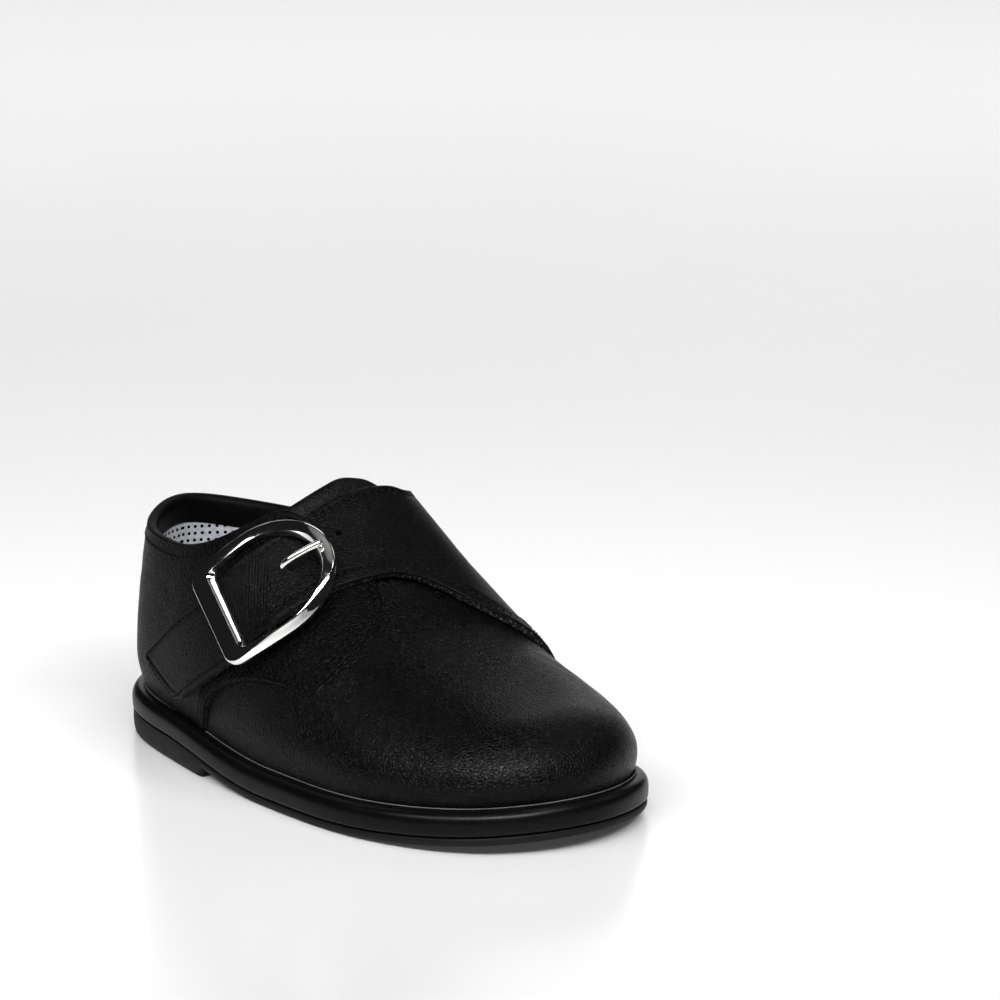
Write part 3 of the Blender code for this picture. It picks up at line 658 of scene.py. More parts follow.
def stitch_row(name, runs, pitch=1.75, length=1.45, width=.50, rise=.05):
    """Row of stitches with needle holes painted dark as shade, along runs of (points, normals), made as one mesh."""
    ring = np.linspace(0, 2 * math.pi, 6, endpoint=False)
    along = np.array([-1, -.85, -.45, 0, .45, .85, 1.0])
    fat = np.array([.15, .62, .95, 1.0, .95, .62, .15])
    points, faces, slots = [], [], []
    for p, n in runs:
        s = run_length(p)
        for at in np.arange(pitch * .5, s[-1], pitch):
            q = np.array([np.interp([at - .3, at, at + .3], s, p[:, k]) for k in range(3)]).T
            up = np.array([np.interp(at, s, n[:, k]) for k in range(3)])
            up /= np.linalg.norm(up)
            t = q[2] - q[0]
            t -= up * (t @ up)
            t /= np.linalg.norm(t)
            side = np.cross(up, t)
            base = len(points)
            for a, f in zip(along, fat):
                c = q[1] + t * a * length / 2 + up * (rise - .20 * a * a)
                points += list(c + f * width / 2 * (np.cos(ring)[:, None] * side + np.sin(ring)[:, None] * up * .8))
            new = [tuple(base + f) for f in quads(len(along), 6, wrap_cols=True)]
            new += [tuple(base + k for k in range(6)), tuple(base + (len(along) - 1) * 6 + k for k in range(6))]
            # the hole is a shallow pit between two stitches, painted dark as its shade
            hole = q[1] + t * pitch / 2
            base = len(points)
            for r, z in ((.21, .02), (.15, .03)):
                points += list(hole + z * up + r * (np.cos(ring)[:, None] * side + 1.15 * np.sin(ring)[:, None] * t))
            pit = [tuple(base + f) for f in quads(2, 6, wrap_cols=True)] + [tuple(base + 6 + k for k in range(6)), tuple(base + k for k in range(6))]
            faces += new + pit
            slots += [0] * len(new) + [1] * len(pit)
    return piece(name, np.array(points), faces, [THREAD, HOLE_SHADE], slots, turn=True)


def on_surface(chart, height):
    """Points at a height over charted directions, with normals."""
    n = outward(chart)
    h = np.broadcast_to(np.asarray(height, float), chart.shape[:1])
    return cast(chart) + h[:, None] * n, n


# ------------------------------------------------------------------ edges of the panels
QUARTER_LINE = chart_curve(QUARTER_EDGE, .4)
QUARTER_EDGE_POINTS = cast(QUARTER_LINE)
_strap_rows = np.arange(len(STRAP))
REAR = aim(skin(np.array(column(STRAP, 0)), np.array(column(STRAP, 1))))
FRONT = aim(skin(np.array(column(STRAP, 2)), np.array(column(STRAP, 3))))
INNER_LINE = aim(skin(np.array(column(INNER_FRONT, 0)), np.array(column(INNER_FRONT, 1))))


def covered(chart):
    """How far a direction lies under the quarters, in millimetres, negative on the bare vamp."""
    b, t = chart[..., 0], chart[..., 1]
    order = np.argsort(QUARTER_LINE[:, 0])
    line = np.interp(b, QUARTER_LINE[order, 0], QUARTER_LINE[order, 1])
    line = np.where(b < QUARTER_LINE[:, 0].min(), -90, np.where(b > QUARTER_LINE[:, 0].max(), 90, line))
    f = np.vstack([FRONT[5:], INNER_LINE])
    order = np.argsort(f[:, 0])
    other = np.interp(b, f[order, 0], f[order, 1])
    other = np.where(b > f[:, 0].max(), -90, other)
    line = np.where(b < 0, np.minimum(line, np.where(b > f[:, 0].min(), other, 90)), other)
    reach = np.linalg.norm(cast(chart) - CENTRE, axis=-1)
    return np.radians(t - line) * reach


# ------------------------------------------------------------------ vamp and wall of the upper
VAMP_CREASES = [  # x, girth of both ends, depth, width: soft troughs where the forefoot bends
    (46.1, 81.3, 42.3, 101.0, .08, .45), (49.8, 82.3, 47.6, 100.5, .08, .45), (42.0, 79.9, 38.2, 94.2, .06, .45),
    (28.0, 112.0, 36.0, 132.0, .07, 1.2), (33.0, 108.0, 42.0, 128.0, .06, 1.2), (25.0, 66.0, 33.0, 44.0, .04, 1.4)]


def creases(p, table):
    """Height of soft troughs with low ridges beside them."""
    h = np.zeros(p.shape[:-1])
    for xa, ga, xb, gb, depth, width in table:
        t = np.linspace(0, 1, 25)
        bow = .8 * np.sin(t * math.pi)
        line = skin(xa + (xb - xa) * t + bow, ga + (gb - ga) * t)
        near = np.linalg.norm(p - line[12], axis=-1) < 40
        d = distance_to(p[near], line)
        end = np.minimum(np.linalg.norm(p[near] - line[0], axis=-1), np.linalg.norm(p[near] - line[-1], axis=-1))
        fade = smooth(end / 5.0)
        h[near] += fade * depth * (.55 * bell(d - 2.0 * width, width) - bell(d, width))
    return h


def make_upper():
    count, risers = 380, 92
    foot = inset_outline(UPPER_INSET + FOOT_TUCK)
    ring = resample(np.vstack([foot, foot[:1]]), 0, count + 1)[:-1]
    b = np.degrees(np.arctan2(ring[:, 1] - CENTRE[1], ring[:, 0] - CENTRE[0]))
    b = np.sort(b)
    lo, hi = foot_chart(b), collar_chart(b)
    hi[:, 1] -= .5
    p, _, s, w = ruled(lo, hi, lambda width: width[:, None] * np.linspace(0, 1, risers + 1)[None], 65)
    n = grid_normals(p, True)
    cover = covered(aim(p))
    drop = -.65 * smooth((cover - 3.5) / 3.0)
    bulge = .25 * np.clip(np.sin(p[..., 0] * .21 + 1.0) * np.sin(p[..., 1] * .17), -1, 1)
    outer = p + (drop + creases(p, VAMP_CREASES) + .35 * bulge * smooth(-cover / 8))[..., None] * n
    inner = p - 1.3 * n
    inner[:, 0, 2] = outer[:, 0, 2]
    loop = np.concatenate([outer, inner[:, ::-1]], 1)
    faces = quads(count, loop.shape[1], wrap_rows=True, wrap_cols=True)
    return piece("upper_vamp", loop.reshape(-1, 3), faces, [VAMP_LEATHER], sharp=60, replaces=("upper",))


# ------------------------------------------------------------------ outer quarter


def make_quarter():
    start = QUARTER_LINE[0, 0]
    foot_run = foot_chart(np.linspace(-180, start, 240)[:-1])
    low = np.vstack([foot_run, QUARTER_LINE])
    low = aim(resample(cast(low), .62))
    low[0, 0] = -180
    top_line = chart_curve(QUARTER_TOP, .5)
    top_b = np.concatenate([np.linspace(-180, top_line[0, 0], 300)[:-1], top_line[:, 0]])
    top_t = np.concatenate([collar_chart(np.linspace(-180, top_line[0, 0], 300)[:-1])[:, 1], top_line[:, 1]])
    last = np.minimum(low[:, 0], top_line[-1, 0])
    # the hidden end leans back so that rows stay apart
    high = np.stack([last, np.interp(last, top_b, top_t)], 1)
    high[:, 1] = np.maximum(high[:, 1], low[:, 1] + .4)
    p, n, s, w = ruled(low, high, edge_plan([0, .07, .2, .4, .8, 1.4, 2.1, 2.8, 3.6], 46, [0, .2, .6, 1.2, 2.2]))
    d = distance_to(p, QUARTER_EDGE_POINTS)
    front = smooth((p[..., 0] + 24) / 9)
    lift = .35 + (QUARTER_THICK - .35) * front * (1 - smooth((d - 9) / 13))
    h = lift - rounded(d, .45) * smooth((QUARTER_THICK - .2 - np.abs(lift - QUARTER_THICK)) / .5)
    h -= .17 * bell(d - 1.35, .36) + .17 * bell(d - 2.75, .36)
    h += .06 * bell(d - 2.05, .4) + .05 * bell(d - .6, .35)
    low_end = 1 - smooth((p[..., 2] - 15) / 9)
    h += .16 * low_end * front * (bell(d - 4.1, .42) + .8 * bell(d - 5.6, .45) + .5 * bell(d - 7.2, .5))
    h = keep_low(h, p)
    h = h + creases(p, QUARTER_CREASES)
    outer, inner = p + h[..., None] * n, p - .35 * n
    loop = np.concatenate([outer, inner[:, ::-1]], 1)
    r, c = loop.shape[:2]
    points, faces = sleeve(loop)
    col = np.tile(np.arange(c), r - 1)
    slots = np.concatenate([(col == c - 1).astype(int), [0, 0]])
    return piece("outer_quarter", points, faces, [QUARTER_LEATHER, EDGE], slots, sharp=50), low


QUARTER_CREASES = [  # x, girth of both ends, depth, width
    (4.0, 30.0, 9.0, 44.0, .10, .8), (8.0, 33.0, 12.5, 47.0, .10, .8),
    (-58.0, 12.0, -50.0, 16.0, .10, 1.2), (-60.0, 17.0, -48.0, 20.0, .09, 1.2), (-44.0, 19.0, -34.0, 20.0, .08, 1.2)]

# ------------------------------------------------------------------ strap and inner quarter


def strap_edges():
    """Rows of the strap and the inner quarter: charts of both edges, lift of the under side, share of the inner quarter
    in each row, and the number of strap rows and of rows down the inner front edge.
    """
    t = np.concatenate([1.0 * np.linspace(0, 1, 26)**1.7, np.linspace(1.0, 13, 224)[1:]])
    at = lambda table, k: spline(_strap_rows, table[:, k], t)
    rear = np.stack([at(REAR, 0), at(REAR, 1)], 1)
    front = np.stack([at(FRONT, 0), at(FRONT, 1)], 1)
    lift = spline(_strap_rows, column(STRAP, 4), t)
    # the inner quarter goes on below the strap, along collar and sole to the back of the heel
    b0 = rear[-1, 0]
    runs = 190
    u = np.linspace(0, 1, runs + 1)[1:]
    share = .16
    rb = b0 + (180 - b0) * np.where(u < share, .55 * u, .55 * share + (1 - .55 * share) * (u - share) / (1 - share))
    more_rear = collar_chart(rb)
    edge = np.vstack([FRONT[-2:], INNER_LINE])
    pe = cast(edge)
    se = run_length(pe)
    ends = np.linspace(se[1], se[-1], int(share * runs * 1.0) + 1)[1:]
    down = np.stack([spline(se, edge[:, 0], ends), spline(se, edge[:, 1], ends)], 1)
    foot_b = np.linspace(down[-1, 0], 180, runs - len(down) + 1)[1:]
    more_front = np.vstack([down, foot_chart(foot_b)])
    k = len(t)
    under = np.concatenate([lift, np.linspace(lift[-1], -.35, 25), np.full(runs - 25, -.35)])
    thick_front = np.concatenate([np.full(k, STRAP_THICK), np.linspace(STRAP_THICK, 1.6, runs)])
    level = np.concatenate([np.zeros(k - 40), smooth(np.linspace(0, 1, 40 + 30)), np.ones(runs - 30)])
    return np.vstack([rear, more_rear]), np.vstack([front, more_front]), under, level, k, len(down)


STRAP_CREASES = [  # x, girth of both ends, depth, width
    (0.0, 92.0, 10.0, 88.0, .06, 1.6), (2.0, 100.0, 14.0, 94.0, .06, 1.6), (6.0, 118.0, 16.0, 112.0, .08, 1.4)]


def make_strap():
    rear, front, under, level, k, down = strap_edges()
    p, n, s, w = ruled(rear, front, edge_plan([0, .07, .2, .4, .8, 1.4, 2.1, 2.8], 40, [0, .07, .2, .4, .8, 1.4, 2.1, 2.8, 3.6]))
    # the end of the tail has round corners
    end = p[0].copy()
    rows = 40
    for i in range(rows):
        d = float(np.mean(np.linalg.norm(p[i] - end, axis=1)))
        r = 3.2
        if d < r:
            cut = r - math.sqrt(max(r * r - (r - d)**2, 0))
            f = np.clip((s[i] / w[i]) * (w[i] - 2 * cut) + cut, 0, w[i])
            p[i] = np.stack([np.interp(f, s[i], p[i][:, c]) for c in range(3)], 1)
            n[i] = np.stack([np.interp(f, s[i], n[i][:, c]) for c in range(3)], 1)
    free = np.concatenate([p[:k + down, -1][::-1], p[0][::-1], p[:k, 0]])
    d = distance_to(p, free)
    front_share = s / w[:, None]
    top_strap = under[:, None] + STRAP_THICK
    top_inner = .35 + (QUARTER_THICK - .35 + .1) * (1 - smooth((d - 9) / 14))
    h = top_strap + (top_inner - top_strap) * level[:, None]
    round_off = np.ones_like(h)
    round_off[k + down:] = 0
    h -= rounded(d, .5) * round_off
    tail = 1 - smooth((np.arange(len(p)) - 95) / 30)[:, None]
    groove = 1.6 * tail + (1 - tail) * np.where(front_share > .5, 2.7, 1.5)
    h -= .17 * bell(d - groove, .38) * round_off
    h += .06 * bell(d - groove + .85, .4) * round_off
    h = keep_low(h, p) * level[:, None] + h * (1 - level[:, None])
    h = h + creases(p, STRAP_CREASES)
    low = np.broadcast_to(under[:, None], h.shape)
    outer, inner = p + h[..., None] * n, p + np.minimum(low, h - .2)[..., None] * n
    loop = np.concatenate([outer, inner[:, ::-1]], 1)
    r, c = loop.shape[:2]
    points, faces = sleeve(loop)
    half = p.shape[1]
    col, row = np.tile(np.arange(c), r - 1), np.repeat(np.arange(r - 1), c)
    slots = ((col == c - 1) & (row < k)) | ((col == half - 1) & (row < k + down))
    slots = np.concatenate([slots.astype(int), [1, 0]])
    ob = piece("strap_and_inner_quarter", points, faces, [STRAP_LEATHER, EDGE], slots, sharp=50, replaces=("strap",))
    return ob, (p, n, h, s, w, k, down)


def surface_row(grid, distance, from_front, rows):
    """Points and normals on the strap at a distance from one edge, over a range of rows."""
    p, n, h, s, w, k, down = grid
    out, ups = [], []
    for i in rows:
        at = w[i] - distance if from_front else distance
        q = np.array([np.interp(at, s[i], (p[i] + h[i][:, None] * n[i])[:, c]) for c in range(3)])
        out.append(q)
        ups.append([np.interp(at, s[i], n[i][:, c]) for c in range(3)])
    return np.array(out), np.array(ups)


# ------------------------------------------------------------------ tongue


def make_tongue():
    rows, cols = 70, 72
    t = np.linspace(0, 1, rows)[:, None]
    g = np.linspace(TONGUE_TOP[0][1], TONGUE_TOP[-1][1] + 9, cols)[None]
    top = spline(column(TONGUE_TOP, 1), column(TONGUE_TOP, 0), g) + 2.2 * smooth((g - 104) / 14)**2
    x = TONGUE_END + (top - TONGUE_END) * t
    wide = 1 + .12 * (1 - t)
    gg = 85 + (g - 85) * wide
    a = (g - 85) / 33
    sink = 2.15 - .95 * smooth((t - .66) / .34) * (1 - np.clip(np.abs(a), 0, 1)**3)
    p, n = skin(x, gg), skin_normal(x, gg)
    from_top = (1 - t) * (TONGUE_END - top)
    edge = np.minimum(from_top, np.minimum(g - g[0, 0], g[0, -1] - g) * .55)
    fall = rounded(edge, .6)
    roll = .16 * bell(from_top - 1.0, .9) - .10 * bell(from_top - 2.6, .5)
    outer = p - (sink + fall - roll)[..., None] * n
    inner = p - (sink + TONGUE_THICK - .5 * fall)[..., None] * n
    loop = np.concatenate([outer, inner[:, ::-1]], 1)
    points, faces = sleeve(loop)
    return piece("tongue_leaf", points, faces, [SOFT_LEATHER], sharp=60, replaces=("tongue",))


# ------------------------------------------------------------------ collar edge and lining
COLLAR_PROFILE = [  # distance below the edge, height over the last
    (1.3, .03), (1.08, .25), (.78, .34), (.36, .35), (.0, .27), (-.22, .07), (-.36, -.26), (-.40, -.74), (-.33, -1.24), (-.08, -1.66),
    (.6, -2.02), (1.6, -2.12), (3.0, -2.12), (4.2, -2.12), (4.8, -2.08), (5.0, -1.95), (5.0, -1.75), (4.0, -1.7), (2.0, -1.6)]


def make_collar():
    b = np.linspace(-180, 180, 361)[:-1]
    edge = cast(collar_chart(b))
    edge = resample(np.vstack([edge, edge[:1]]), 0, 421)[:-1]
    c = aim(edge)
    reach = np.linalg.norm(edge - CENTRE, axis=1)
    loop = []
    for below, height in COLLAR_PROFILE:
        q = c.copy()
        q[:, 1] -= np.degrees(max(below, 0) / reach) * 1.06
        n = outward(q)
        up = np.array([0, 0, 1.0]) - n * n[:, 2:]
        up /= np.linalg.norm(up, axis=1)[:, None]
        loop.append(cast(q) + height * n + max(-below, 0) * up)
    loop = np.stack(loop, 1)
    return piece("collar_binding", loop.reshape(-1, 3), quads(len(c), loop.shape[1], True, True), [BINDING], sharp=70)


LINING_DEPTH = 1.85


def lining_grid(count, rows):
    b = np.linspace(-180, 180, count + 1)[:-1]
    edge = cast(collar_chart(b))
    c = aim(resample(np.vstack([edge, edge[:1]]), 0, count + 1)[:-1])
    lo, hi = foot_chart(c[:, 0]), c.copy()
    hi[:, 1] -= np.degrees(4.3 / np.linalg.norm(cast(c) - CENTRE, axis=1))
    p, _, _, _ = ruled(lo, hi, lambda w: w[:, None] * np.linspace(0, 1, rows)[None])
    return p, grid_normals(p, True)


def make_lining():
    p, n = lining_grid(240, 40)
    inner, outer = p - LINING_DEPTH * n, p - 1.45 * n
    loop = np.concatenate([inner, outer[:, ::-1]], 1)
    piece("lining", loop.reshape(-1, 3), quads(len(p), loop.shape[1], True, True), [LINING], sharp=60, slot="lining")
    # perforations, in staggered rows, as dark discs of painted shade
    points, faces = [], []
    ring = np.linspace(0, 2 * math.pi, 8, endpoint=False)
    run = np.linalg.norm(np.diff(p, axis=1), axis=2).cumsum(1)
    height = np.concatenate([np.zeros((len(p), 1)), run], 1)
    pitch, radius = 1.75, .36
    for r in range(3, 40):
        level = r * pitch * .87
        line, ups = [], []
        for i in range(len(p)):
            if level < height[i, -1] - .6:
                line.append([np.interp(level, height[i], p[i][:, k]) for k in range(3)])
                ups.append([np.interp(level, height[i], n[i][:, k]) for k in range(3)])
            else:
                line.append([np.nan] * 3)
                ups.append([np.nan] * 3)
        line, ups = np.array(line), np.array(ups)
        step = np.linalg.norm(np.roll(line, -1, 0) - line, axis=1)
        s = (pitch / 2 if r % 2 else 0)
        for i in range(len(p)):
            if np.isnan(step[i]):
                continue
            while s < step[i]:
                f = s / step[i]
                q = line[i] * (1 - f) + line[(i + 1) % len(p)] * f
                up = ups[i] / np.linalg.norm(ups[i])
                s += pitch
                if q[0] > 6:
                    continue
                a = np.cross(up, (0, 0, 1.0))
                a /= np.linalg.norm(a)
                e = np.cross(a, up)
                base = len(points)
                rim = radius * (np.cos(ring)[:, None] * a + np.sin(ring)[:, None] * e)
                points += list(q - (LINING_DEPTH + .03) * up + rim) + list(q - (LINING_DEPTH - .05) * up + rim)
                faces += [tuple(base + k for k in range(8)), tuple(base + 15 - k for k in range(8))]
                faces += [(base + k, base + 8 + k, base + 8 + (k + 1) % 8, base + (k + 1) % 8) for k in range(8)]
            s -= step[i]
    piece("lining_perforations", np.array(points), faces, [HOLE_SHADE], sharp=50, slot="lining")


# ------------------------------------------------------------------ sole pieces
STATIONS = 170


def ring_at(depth, extra=()):
    """Closed ring of an inset outline with the same x on both sides, heel tip first."""
    lat, med = halves(inset_outline(depth))
    t = (1 - np.cos(np.linspace(0, math.pi, STATIONS + 1)[1:-1])) / 2
    xs = lat[0, 0] + (lat[-1, 0] - lat[0, 0]) * t
    for e in extra:
        xs[np.abs(xs - e).argmin()] = e
    xs = np.sort(xs)
    a = np.stack([xs, np.interp(xs, lat[:, 0], lat[:, 1])], 1)
    b = np.stack([xs, np.interp(xs, med[:, 0], med[:, 1])], 1)
    return np.vstack([lat[:1], a, lat[-1:], b[::-1]])


def cap_rows(ring, z, rows, dome=0.0):
    """Inner grid of a ring: straight rows from the outer side to the inner side."""
    half = len(ring) // 2
    out = []
    for i in range(1, half):
        a, b = ring[i], ring[len(ring) - i]
        u = np.linspace(0, 1, rows + 2)[1:-1]
        q = a + (b - a) * u[:, None]
        out.append(np.column_stack([q, [float(z(np.float64(x))) for x in q[:, 0]] + dome * np.sin(u * math.pi)**.6]))
    return np.array(out)


def lofted(name, rows, mats, slot, sharp, replaces, extra=(), top_dome=0.0, inner=9):
    """Closed solid through inset outlines, with rows across its top and underside."""
    points, faces, n = [], [], None
    for depth, z in rows:
        r = ring_at(depth, extra)
        n = len(r)
        points.append(np.column_stack([r, [float(z(np.float64(x))) for x in r[:, 0]]]))
    for k in range(len(rows) - 1):
        faces += [tuple(f) for f in np.stack([np.arange(n) + k * n, (np.arange(n) + 1) % n + k * n,
                                              (np.arange(n) + 1) % n + (k + 1) * n, np.arange(n) + (k + 1) * n], 1)]
    points = list(np.concatenate(points))
    for k, dome in ((0, 0.0), (len(rows) - 1, top_dome)):
        r = ring_at(rows[k][0], extra)
        grid = cap_rows(r, rows[k][1], inner, dome)
        base = len(points)
        points += list(grid.reshape(-1, 3))
        half = n // 2
        idx = lambda i, j: (k * n + i if j == 0 else k * n + (n - i) % n if j == inner + 1 else base + (i - 1) * inner + j - 1)
        for i in range(1, half - 1):
            for j in range(inner + 1):
                faces.append((idx(i, j), idx(i, j + 1), idx(i + 1, j + 1), idx(i + 1, j)))
        for tip, i in ((0, 1), (half, half - 1)):
            for j in range(inner + 1):
                faces.append((k * n + tip, idx(i, j), idx(i, j + 1)))
    return piece(name, np.array(points), faces, mats, sharp=sharp, replaces=replaces, slot=slot)


MIDSOLE_PROFILE = [  # inset from the outline, share of the height
    (.75, 0.0), (.40, .006), (.18, .03), (.08, .08), (.03, .18), (.01, .30), (0.0, .42), (.02, .52), (.10, .62), (.24, .71),
    (.44, .79), (.72, .865), (1.05, .925), (1.4, .968), (1.75, .99), (2.1, 1.0), (2.45, 1.0), (2.7, .99), (2.85, .96)]


def make_sole():
    def level(u):
        return lambda x: seam_z(x) + GAP / 2 + u * (seat_z(x) - seam_z(x) - GAP / 2)
    lofted("sole_edge", [(d, level(u)) for d, u in MIDSOLE_PROFILE] + [(2.9, lambda x: seat_z(x) - SEAT_DROP)],
           [GLOSS], "edge_rubber", 55, ("midsole",))

    def tread(u):
        return lambda x: tread_z(x) + u * (seam_z(x) - GAP / 2 - tread_z(x))
    lofted("outsole_tread", [(1.3, tread(0)), (.85, tread(.03)), (.55, tread(.12)), (.34, tread(.3)), (.26, tread(.55)), (.26, tread(.86)),
                             (.36, tread(.97)), (.75, tread(1.0))], [TREAD], "tread_rubber", 40, ("outsole",),
           (HEEL_BREAST, HEEL_BREAST + BREAST_RUN))
    # a fine pale line where the upper goes into the sole
    ring = ring_at(2.56)
    line = np.column_stack([ring, [float(seat_z(np.float64(x))) + .22 for x in ring[:, 0]]])
    out = np.column_stack([ring_at(1.6), line[:, 2]]) - line
    out /= np.linalg.norm(out, axis=1)[:, None]
    ang = np.linspace(0, 2 * math.pi, 8, endpoint=False)
    bead = line[:, None] + .16 * (np.cos(ang)[None, :, None] * out[:, None] + np.sin(ang)[None, :, None] * np.array([0, 0, 1.0]))
    piece("pale_junction_line", bead.reshape(-1, 3), quads(len(line), 8, True, True), [JUNCTION_LINE], slot="edge_rubber")
    inset = UPPER_INSET + FOOT_TUCK + WALL + 3 * GAP
    lofted("sock", [(inset, foot_z), (inset - .1, lambda x: foot_z(x) + .5 * INSOLE_THICK), (inset, lambda x: foot_z(x) + .8 * INSOLE_THICK),
                    (inset + .25, lambda x: foot_z(x) + .95 * INSOLE_THICK), (inset + .7, lambda x: foot_z(x) + INSOLE_THICK)],
           [SOCK], "lining", 60, ("insole",))


# ------------------------------------------------------------------ buckle


def buckle_axes():
    a, f = np.asarray(BUCKLE_ALONG), np.asarray(BUCKLE_FACE)
    a, f = a / np.linalg.norm(a), f / np.linalg.norm(f)
    f = f - a * (f @ a)
    f /= np.linalg.norm(f)
    return a, np.cross(f, a), f


def on_buckle(along, side, height):
    """Point from the frame's own measures; the frame is bent along its length."""
    a, w, f = buckle_axes()
    along, side, height = [np.asarray(v, float) for v in (along, side, height)]
    turn = (along - BUCKLE_LENGTH / 2 + 1.15) / BUCKLE_BEND
    reach = BUCKLE_BEND + height
    return (np.asarray(BUCKLE_AT) + (reach * np.sin(turn))[..., None] * a + side[..., None] * w
            + (reach * np.cos(turn) - BUCKLE_BEND)[..., None] * f)


def buckle_loop(length, flat, wide, wide_at, corner, count=40):
    """Outline with a flat end at 0 and a round end at length."""
    t = np.linspace(0, 1, count)
    a = np.linspace(0, math.pi / 2, count)[1:]
    first = corner * (1 - np.cos(np.linspace(0, math.pi / 2, 12)))[:-1]
    l1 = np.concatenate([first, corner + (wide_at - corner) * t])
    w1 = flat + (wide - flat) * np.sin(l1 / wide_at * math.pi / 2)
    w1 = w1 - np.where(l1 < corner, corner - np.sqrt(np.maximum(corner**2 - (corner - l1)**2, 0)), 0)
    l, w = np.concatenate([l1, wide_at + (length - wide_at) * np.sin(a)]), np.concatenate([w1, wide * np.cos(a)])
    return np.concatenate([np.stack([l, w], 1), np.stack([l, -w], 1)[-2::-1]])


RIM_OUTER = [  # distance in from the outer edge, share of half the thickness
    (.25, -1.0), (0.0, -.75), (0.0, .05), (.05, .30), (.18, .52), (.40, .70)]
RIM_LOW = [  # the same on the lower side, which has a broad bevel
    (.25, -1.0), (0.0, -.80), (0.0, -.15), (.30, .12), (.80, .46), (1.20, .76)]
RIM_INNER = [  # distance out from the inner edge, share of half the thickness
    (1.12, 1.0), (1.04, .96), (.60, .50), (.12, 0.0), (.04, -.15), (0.0, -.75), (.2, -1.0)]


def tube(path, radii, sides=18):
    path = np.asarray(path, float)
    tan = np.gradient(path, axis=0)
    tan /= np.linalg.norm(tan, axis=1)[:, None]
    up = np.cross(tan[0], (0.3, 0.9, 0.2))
    rows = []
    for p, d, r in zip(path, tan, radii):
        up = up - d * (up @ d)
        up /= np.linalg.norm(up)
        ang = np.linspace(0, 2 * math.pi, sides, endpoint=False)
        rows.append(p + r * (np.cos(ang)[:, None] * up + np.sin(ang)[:, None] * np.cross(d, up)))
    return sleeve(np.array(rows))


def join(parts):
    points, faces, n = [], [], 0
    for p, f in parts:
        points.append(np.asarray(p))
        faces += [tuple(i + n for i in face) for face in f]
        n += len(p)
    return np.concatenate(points), faces


def make_buckle():
    out = buckle_loop(BUCKLE_LENGTH, BUCKLE_HALF_FLAT, BUCKLE_HALF_WIDE, BUCKLE_WIDE_AT, BUCKLE_CORNER)
    ins = buckle_loop(BUCKLE_LENGTH - RIM_FLAT - RIM_ROUND, BUCKLE_HALF_FLAT - RIM_SIDE + .3,
                      BUCKLE_HALF_WIDE - RIM_SIDE, BUCKLE_WIDE_AT - RIM_FLAT, 1.4)
    ins[:, 0] += RIM_FLAT
    h = BUCKLE_THICK / 2
    rim = np.linalg.norm(ins - out, axis=1)[:, None]
    way = (ins - out) / rim
    low, thin = smooth((way[:, 1:] - .2) / .5), 1 - .78 * smooth((-way[:, 1:] - .25) / .5)
    lines = [(out + (d + (d2 - d) * low) * way, k + (k2 - k) * low) for (d, k), (d2, k2) in zip(RIM_OUTER, RIM_LOW)]
    first, last_k = lines[-1][1], RIM_OUTER[-1][0] + (RIM_LOW[-1][0] - RIM_OUTER[-1][0]) * low
    lines += [(out + (last_k + (rim - 1.16 * thin - last_k) * u) * way, first + (1 - first) * math.sin(u * math.pi / 2)) for u in (.25, .5, .75)]
    lines += [(ins - d * thin * way, np.full((len(ins), 1), k)) for d, k in RIM_INNER]
    rows = np.stack([on_buckle(*q.T, k[:, 0] * h) for q, k in lines], 1)
    frame_mesh = (rows.reshape(-1, 3), [tuple(f) for f in quads(len(rows), len(lines), True, True)])
    side = np.concatenate([np.linspace(-11.3, -8.4, 12), np.linspace(-8, 8, 17), np.linspace(8.4, 11.3, 12)])
    drop = -.2 - (BAR_DROP + BAR_LEAN * side - .2) * smooth((11.6 - np.abs(side)) / 3.0)
    bar = tube(on_buckle(np.full(len(side), BAR_AT), side, drop), [BAR_RADIUS] * len(side))
    ob = piece("buckle", *join([frame_mesh, bar]), [METAL], sharp=30, replaces=("buckle_frame",), slot="polished_metal")
    ob.modifiers.new("soft edges", "BEVEL").width = .00008
    ob.modifiers["soft edges"].segments = 2
    ob.modifiers["soft edges"].limit_method = "ANGLE"
    ob.modifiers["soft edges"].angle_limit = math.radians(24)
    rise = BUCKLE_THICK / 2 + GAP + PRONG_TIP_RADIUS
    route = [(PRONG_ROOT - .2, -BAR_DROP + .1), (PRONG_ROOT - .1, -2.0), (PRONG_ROOT + .05, -1.0), (PRONG_ROOT + .3, .3), (PRONG_ROOT + 1.1, 1.5),
             (PRONG_ROOT + 2.6, 2.05), (PRONG_ROOT + 5.0, rise + .05), (PRONG_TIP - 1.2, rise), (PRONG_TIP - .2, rise - .05)]
    k = np.linspace(0, len(route) - 1, 46)
    idx = np.arange(len(route))
    al, he = spline(idx, column(route, 0), k), spline(idx, column(route, 1), k)
    radii = np.linspace(PRONG_RADIUS - .1, PRONG_TIP_RADIUS, len(k))
    al, he = np.append(al, [al[-1] + .3, al[-1] + .48]), np.append(he, [he[-1], he[-1] - .02])
    radii = np.append(radii, [radii[-1] * .75, radii[-1] * .3])
    prong = tube(on_buckle(al, np.full(len(al), PRONG_SIDE), he), radii)
    piece("prong", *prong, [METAL], sharp=50, replaces=("buckle_prong",), slot="polished_metal")


# ------------------------------------------------------------------ small things


